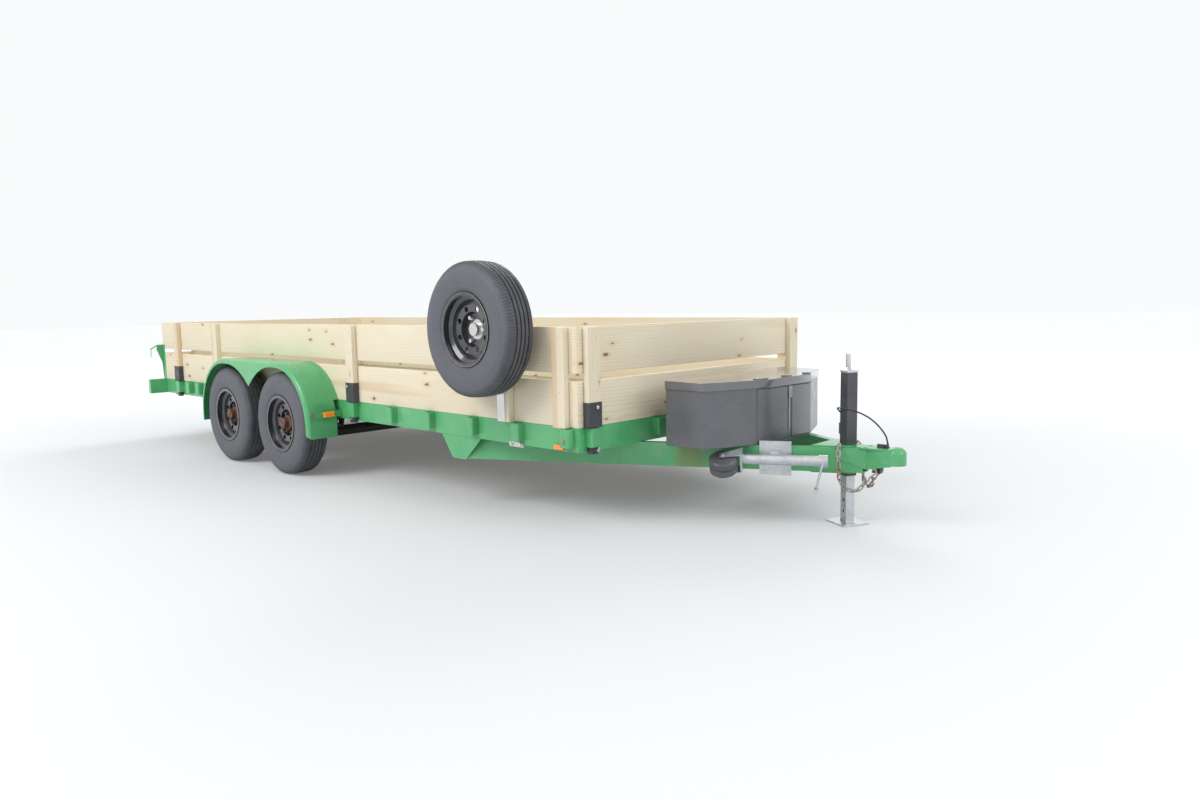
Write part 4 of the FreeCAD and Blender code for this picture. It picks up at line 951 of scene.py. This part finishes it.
def link_shape(corners):
    """A circle carried along (r cos a + half the straight on the cosine's side, r sin a).

    The bar's and the bend's radius come from how far the corners reach in the link's three directions.
    """
    centre = (corners.max(axis=0) + corners.min(axis=0)) / 2
    _, _, axes = np.linalg.svd(corners - corners.mean(axis=0), full_matrices=False)
    spans = (corners - centre) @ axes.T
    centre = centre + ((spans.max(axis=0) + spans.min(axis=0)) / 2) @ axes
    long, wide, thick = np.ptp(spans, axis=0)
    axes[2] = np.cross(axes[0], axes[1])
    wire = thick / 2
    bend = wide / 2 - wire
    angle = (np.arange(LINK_AROUND) + 0.5) * 2 * math.pi / LINK_AROUND
    line = np.stack([bend * np.cos(angle) + np.sign(np.cos(angle)) * (long - wide) / 2,
                     bend * np.sin(angle)], axis=1)
    outward = np.stack([np.cos(angle), np.sin(angle)], axis=1) @ axes[:2]
    turn = np.arange(WIRE_AROUND) * 2 * math.pi / WIRE_AROUND
    ring = (line @ axes[:2])[:, None, :] + wire * (np.cos(turn)[None, :, None] * outward[:, None, :]
                                                   + np.sin(turn)[None, :, None] * axes[2])
    faces = grid_faces(LINK_AROUND, WIRE_AROUND, closed=True)[:, ::-1]
    return (centre + ring.reshape(-1, 3), [faces]), centre, axes[0] * (long / 2 - wire)


links = [link_shape(corners) for corners, _ in solids_of("safety_chains")]
chains = add_mesh("safety_chain_links", *joined([shape for shape, _, _ in links]), chain_steel)
stands_for(chains, "safety_chains")
print("links", len(links))

# %% Chain hooks
HOOK_WIRE = 0.0042
HOOK_CLEAR = 0.0003
HOOK_FORM = ((0.013, 0.0075), (0.005, 0.0105), (-0.006, 0.0080), (-0.0095, -0.0010), (-0.004, -0.0085),
             (0.008, -0.0105), (0.024, -0.0060), (0.040, -0.0080))
HOOK_TURNS = np.radians(np.array([-75.0, -35.0, 5.0, 45.0, 85.0, 125.0]))
SHANK_SHORT = 0.020
bar_low, bar_high = (np.array(corner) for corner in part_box("coupler_latch"))
BAR_RADIUS = 0.006
BAR_FROM_REAR, BAR_FROM_END, BAR_FROM_BELOW = 0.024, 0.002, 0.014


def hook_shape(side):
    """A bent wire whose eye goes round the last link and whose other end is an arc round the bar.

    The form's first number runs along the line from eye to bar and its second number upwards from it.
    """
    ends = [centre + sign * half for _, centre, half in links if centre[1] * side > 0 for sign in (-1, 1)]
    bar = np.array([bar_low[0] + BAR_FROM_REAR, side * (bar_high[1] - BAR_FROM_END),
                    bar_low[2] + BAR_FROM_BELOW])
    eye = min(ends, key=lambda end: np.linalg.norm(end - bar))
    reach = bar - eye
    span = np.linalg.norm(reach)
    along = reach / span
    up = np.array([0.0, 0.0, 1.0]) - along * along[2]
    up /= np.linalg.norm(up)
    round_bar = BAR_RADIUS + HOOK_WIRE + HOOK_CLEAR
    over = np.stack([span + round_bar * np.cos(HOOK_TURNS), round_bar * np.sin(HOOK_TURNS)], axis=1)
    form = np.array(HOOK_FORM)
    form = np.concatenate([form[form[:, 0] < span - SHANK_SHORT], over])
    return bent_wire(eye + form[:, :1] * along + form[:, 1:] * up, HOOK_WIRE)


hooks = fitted("chain_hooks", [hook_shape(-1), hook_shape(1)], chain_steel, "chassis")
print("hooks", len(hooks.data.polygons), "faces")

# %% [markdown]
# ## Fasteners and small fittings
#
# Bright bolts hold the black sockets, wood screws hold the boards to the posts, and a bolt shows on each
# fender bar and on the foremost pocket of each side. Heads could be copies of one mesh, but then each
# would be a piece of its own. Here the heads of one kind are one piece, and each is placed from the box
# of the solid that carries it, so it stays on that solid whatever its size.

# %% Places for fasteners
HEX_ROWS = (2, 3, 4)
BOLT_HEAD = ((0.0105, 0.0), (0.0105, 0.0012), (0.0078, 0.0014), (0.0078, 0.0056), (0.0066, 0.0066),
             (0.0018, 0.0066))
PIN_HEAD = ((0.0150, 0.0), (0.0150, 0.0020), (0.0098, 0.0022), (0.0098, 0.0082), (0.0084, 0.0092),
            (0.0020, 0.0092))
SCREW_HEAD = ((0.0044, 0.0), (0.0042, 0.0009), (0.0032, 0.0016), (0.0012, 0.0017))
RAIL_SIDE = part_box("side_rails")[1][1]


def boxes_of(name):
    """The lowest and highest corner of each solid of a node."""
    return [(corners.min(axis=0), corners.max(axis=0)) for corners, _ in solids_of(name)]


def outward_of(low, high):
    """Which way a piece on the stake sides faces out, and the plane of that face."""
    middle = (low + high) / 2
    if abs(middle[1]) > RAIL_SIDE - 0.005:
        side = math.copysign(1.0, middle[1])
        return np.array([0.0, side, 0.0]), (high if side > 0 else low)[1]
    return np.array([1.0, 0.0, 0.0]), high[0]


def on_face(low, high, share, z):
    """A place on the outward face: share runs from its rear or right edge to the other, z is a height."""
    out, plane = outward_of(low, high)
    if out[0]:
        return np.array([plane, low[1] + share * (high - low)[1], z]), out
    return np.array([low[0] + share * (high - low)[0], plane, z]), out


# %% Socket bolts and post screws
BOLT_BELOW_TOP = 0.026
BOLT_SHARE_SIDE, BOLT_SHARE_FRONT = 0.30, 0.60
SCREW_PAIR = ((0.36, 0.055), (0.62, 0.180))
SCREW_WANDER = 0.05

socket_bolts = []
for low, high in boxes_of("post_sockets"):
    share = BOLT_SHARE_SIDE if abs(low[1]) > RAIL_SIDE - 0.01 else BOLT_SHARE_FRONT
    place, out = on_face(low, high, share, high[2] - BOLT_BELOW_TOP)
    socket_bolts.append(turned(BOLT_HEAD, place, out, six_sided=HEX_ROWS))
fitted("socket_bolts", socket_bolts, zinc, "chassis")

board_feet = sorted({(round(low[2], 3), round(high[2], 3)) for low, high in boxes_of("side_boards")})
screws = []
for post, (low, high) in enumerate(boxes_of("stake_posts")):
    for foot, _ in board_feet:
        for step, (share, rise) in enumerate(SCREW_PAIR):
            wander = SCREW_WANDER * math.sin(7.3 * post + 2.1 * step + foot)
            place, out = on_face(low, high, share + wander, foot + rise + 0.1 * wander)
            screws.append(turned(SCREW_HEAD, place, out, around=12))
fitted("post_screws", screws, zinc, "chassis")
print("bolts", len(socket_bolts), "screws", len(screws))

# %% Bolts of the fender bars and corner pockets
BAR_BOLT_IN = 0.020
POCKET_BOLT_SHARE, POCKET_BOLT_RISE = 0.50, 0.32
FENDER_MIDDLE_X = -1.0

frame_bolts = []
for low, high in boxes_of("fender_bars"):
    side = math.copysign(1.0, low[1] + high[1])
    ahead = 1.0 if low[0] > FENDER_MIDDLE_X else -1.0
    place = np.array([(high if ahead > 0 else low)[0],
                      (high if side > 0 else low)[1] - side * BAR_BOLT_IN, (low + high)[2] / 2])
    frame_bolts.append(turned(PIN_HEAD, place, (ahead, 0, 0), six_sided=HEX_ROWS))
side_pockets = [box for box in boxes_of("stake_pockets") if abs(box[0][1] + box[1][1]) > 1.9]
for side in (-1, 1):
    low, high = max((box for box in side_pockets if box[0][1] * side > 0), key=lambda box: box[1][0])
    place, out = on_face(low, high, POCKET_BOLT_SHARE, low[2] + POCKET_BOLT_RISE * (high - low)[2])
    frame_bolts.append(turned(PIN_HEAD, place, out, six_sided=HEX_ROWS))
fitted("frame_bolts", frame_bolts, worn_enamel, "chassis")
print("frame bolts", len(frame_bolts))

# %% [markdown]
# ## Wheel trim
#
# The flange of each rim catches the light as a thin dull ring, where the enamel has worn off, and a
# rubber valve stem stands in the well. Painting the ring by its radius would give it no edge that
# catches light, so it is a bead of its own: a ring of small round section, pressed flat.

# %% Rim rings and valve stems
STEM = ((0.0060, -0.012), (0.0075, 0.000), (0.0075, 0.004), (0.0050, 0.010), (0.0045, 0.028),
        (0.0048, 0.029), (0.0048, 0.038), (0.0030, 0.040))
STEM_OUT, STEM_DEEP, STEM_LEAN = 0.110, 0.052, 0.10
RING_BEAD = 0.0016
RING_FLAT = 0.66
RING_FROM_EDGE = 0.0028
RING_AROUND = 96
BEAD_AROUND = 8
rim_low, rim_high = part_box("rim_front_right")
RING_RADIUS = (rim_high[2] - rim_low[2]) / 2 - RING_FROM_EDGE
RIM_OF = {name: name.replace("tyre", "rim") if "front" in name or "rear" in name else "spare_rim"
          for name in WHEEL_MIDDLE}


def ring_shape(middle, out):
    """A flattened torus: middle + (radius + bead cos t) spoke + flat bead sin t along the axis."""
    first, second, along = frame_of((0.0, out, 0.0))
    angle = (np.arange(RING_AROUND) * 2 * math.pi / RING_AROUND)[:, None, None]
    turn = np.arange(BEAD_AROUND)[None, :, None] * 2 * math.pi / BEAD_AROUND
    spoke = np.cos(angle) * first + np.sin(angle) * second
    points = (middle + (RING_RADIUS + RING_BEAD * np.cos(turn)) * spoke
              + RING_FLAT * RING_BEAD * np.sin(turn) * along)
    return points.reshape(-1, 3), [grid_faces(RING_AROUND, BEAD_AROUND, closed=True)[:, ::-1]]


for name, middle in WHEEL_MIDDLE.items():
    out = math.copysign(1.0, middle[1])
    rim = RIM_OF[name]
    rim_low, rim_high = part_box(rim)
    face = (rim_high if out > 0 else rim_low)[1]
    ring = ring_shape(np.array([middle[0], face, middle[2]]), out)
    fitted(rim + "_ring", [ring], worn_enamel, BODY_OF[rim])
    stem_place = np.array([middle[0] + STEM_OUT, face - out * STEM_DEEP, middle[2] - STEM_OUT])
    stem = turned(STEM, stem_place, (STEM_LEAN, out, -STEM_LEAN), around=16)
    fitted(rim + "_stem", [stem], cable_rubber, BODY_OF[rim])
print("wheels with trim", len(RIM_OF))

# %% [markdown]
# ## The breakaway lead
#
# A stiff lead arches from its switch on the jack's tube to the coupler's top. It is one smooth curve
# through the air, held only at its two ends. A swept grid would do, but a lead should stay a line that
# can be laid anew, so it is a spline whose points are the route's own, with a round bevel. A stepped
# rubber sleeve eases it into each end.

# %% Lead
LEAD_RADIUS = 0.004
JACK_X = 2.9975
LEAD_ROUTE = ((-0.04135, 0.02125, 0.520), (-0.04135, 0.02125, 0.556), (-0.0554, 0.0015, 0.584),
              (-0.0513, -0.0299, 0.601), (-0.0221, -0.0560, 0.606), (0.0277, -0.0772, 0.604),
              (0.0960, -0.0740, 0.594), (0.1540, -0.0500, 0.560), (0.1920, -0.0140, 0.505),
              (0.2080, 0.0150, 0.455), (0.2080, 0.0150, 0.4123))
LEAD_POINTS = [(JACK_X + x, y, z) for x, y, z in LEAD_ROUTE]


def lead_curve():
    """A spline of order 3 from its first point to its last, drawn towards the points between."""
    curve = bpy.data.curves.new("breakaway_lead_curve", "CURVE")
    curve.dimensions = "3D"
    spline = curve.splines.new("NURBS")
    spline.points.add(len(LEAD_POINTS) - 1)
    for point, place in zip(spline.points, LEAD_POINTS):
        point.co = (*place, 1.0)
    spline.order_u = 3
    spline.use_endpoint_u = True
    curve.resolution_u = 12
    curve.bevel_depth = LEAD_RADIUS
    curve.bevel_resolution = 4
    curve.use_fill_caps = True
    curve.materials.append(cable_rubber)
    return stands_for(placed("breakaway_lead_line", curve), "breakaway_lead")


lead = lead_curve()

# %% Sleeves at the lead's ends
RELIEF = ((0.0092, 0.0), (0.0092, 0.0030), (0.0078, 0.0045), (0.0074, 0.0090), (0.0064, 0.0095),
          (0.0062, 0.0150), (0.0054, 0.0155), (0.0050, 0.0230), (0.0041, 0.0235))
sleeves = [turned(RELIEF, np.array(LEAD_POINTS[end]), (0.0, 0.0, 1.0)) for end in (0, -1)]
fitted("lead_strain_relief", sleeves, cable_rubber, "chassis")
print("sleeves", len(sleeves))

# %% [markdown]
# ## Floor and background
#
# A picture of a product wants a pale ground that keeps the shadow and runs into the background without a
# horizon. More light would bleach the boards, so the paleness is painted instead: the floor's material
# adds a little brightness, but only for rays that look at it directly, by a mirror or through a lens. It
# grows with the distance from the trailer, where the lamps don't reach.

# %% Rays that look directly
def looked_at(tree):
    """1 for camera, glossy and transmission rays and 0 for the others: the largest of the three flags."""
    rays = node(tree, "ShaderNodeLightPath").outputs
    mirrored = reckon(tree, "MAXIMUM", rays["Is Camera Ray"], rays["Is Glossy Ray"])
    return reckon(tree, "MAXIMUM", mirrored, rays["Is Transmission Ray"])


# %% Floor
FLOOR_HALF = 60.0
FLOOR_LIFT = {"From Min": 2.5, "From Max": 10.0, "To Min": 0.12, "To Max": 0.50}

floor_mesh = bpy.data.meshes.new("floor")
floor_corners = [(x * FLOOR_HALF, y * FLOOR_HALF, 0) for x, y in ((-1, -1), (1, -1), (1, 1), (-1, 1))]
floor_mesh.from_pydata(floor_corners, [], [(0, 1, 2, 3)])
floor = placed("floor", floor_mesh)
floor_material, tree, shader = new_material("pale_floor")
far = reckon(tree, "LENGTH", node(tree, "ShaderNodeTexCoord").outputs["Object"], vector=True)
rise = node(tree, "ShaderNodeMapRange", interpolation_type="SMOOTHSTEP", Value=far, **FLOOR_LIFT)
lift = reckon(tree, "MULTIPLY", looked_at(tree), rise.outputs["Result"])
for key, value in (("Base Color", (0.66, 0.67, 0.68)), ("Roughness", 0.9),
                   ("Emission Color", (1.0, 1.0, 1.0)), ("Emission Strength", lift)):
    feed(shader.inputs[key], value)
floor_mesh.materials.append(floor_material)
print("floor", 2 * FLOOR_HALF, "m square")

# %% [markdown]
# ## Sky
#
# The sky has two faces in the same way: one that lights the trailer at a plain level, slightly blue as
# open shade is, and a nearly white one that only direct looks and reflections see. A sky texture would
# tint the pale boards, so both are one colour each.

# %% World
world = bpy.data.worlds.new("world")
bpy.context.scene.world = world
world.use_nodes = True
sky = world.node_tree
light_sky = sky.nodes["Background"]
feed(light_sky.inputs["Color"], (0.90, 0.93, 0.97))
feed(light_sky.inputs["Strength"], 0.72)
pale_sky = node(sky, "ShaderNodeBackground", Color=(0.95, 0.96, 0.97))
choose = node(sky, "ShaderNodeMixShader")
for socket, value in zip(choose.inputs, (looked_at(sky), light_sky.outputs[0], pale_sky.outputs[0])):
    feed(socket, value)
feed(sky.nodes["World Output"].inputs["Surface"], choose.outputs[0])
print("light sky", round(light_sky.inputs["Strength"].default_value, 2))

# %% [markdown]
# ## Lamps
#
# Sun lamps would cut hard shadows into the stake sides. Three large square lamps are softer: a key high
# on the spare wheel's side, a weak fill in front, and one behind that lifts the far boards and the lid.


# %% Lamps
def area_lamp(name, place, target, size, power):
    """A square lamp at a place, turned so that it faces the target."""
    data = bpy.data.lights.new(name, "AREA")
    data.size = size
    data.energy = power
    lamp = placed(name, data)
    lamp.location = place
    lamp.rotation_euler = (Vector(target) - Vector(place)).to_track_quat("-Z", "Y").to_euler()


area_lamp("key", (-0.5, -8.0, 6.5), (0.0, -0.5, 0.5), 5.0, 450.0)
area_lamp("fill", (8.5, 1.0, 4.0), (2.0, 0.0, 0.5), 4.0, 135.0)
area_lamp("back", (-4.0, 7.0, 6.5), (0.5, 0.0, 0.6), 5.0, 420.0)
bpy.context.scene.view_settings.view_transform = "Standard"
print("lamps", len(bpy.data.lights))
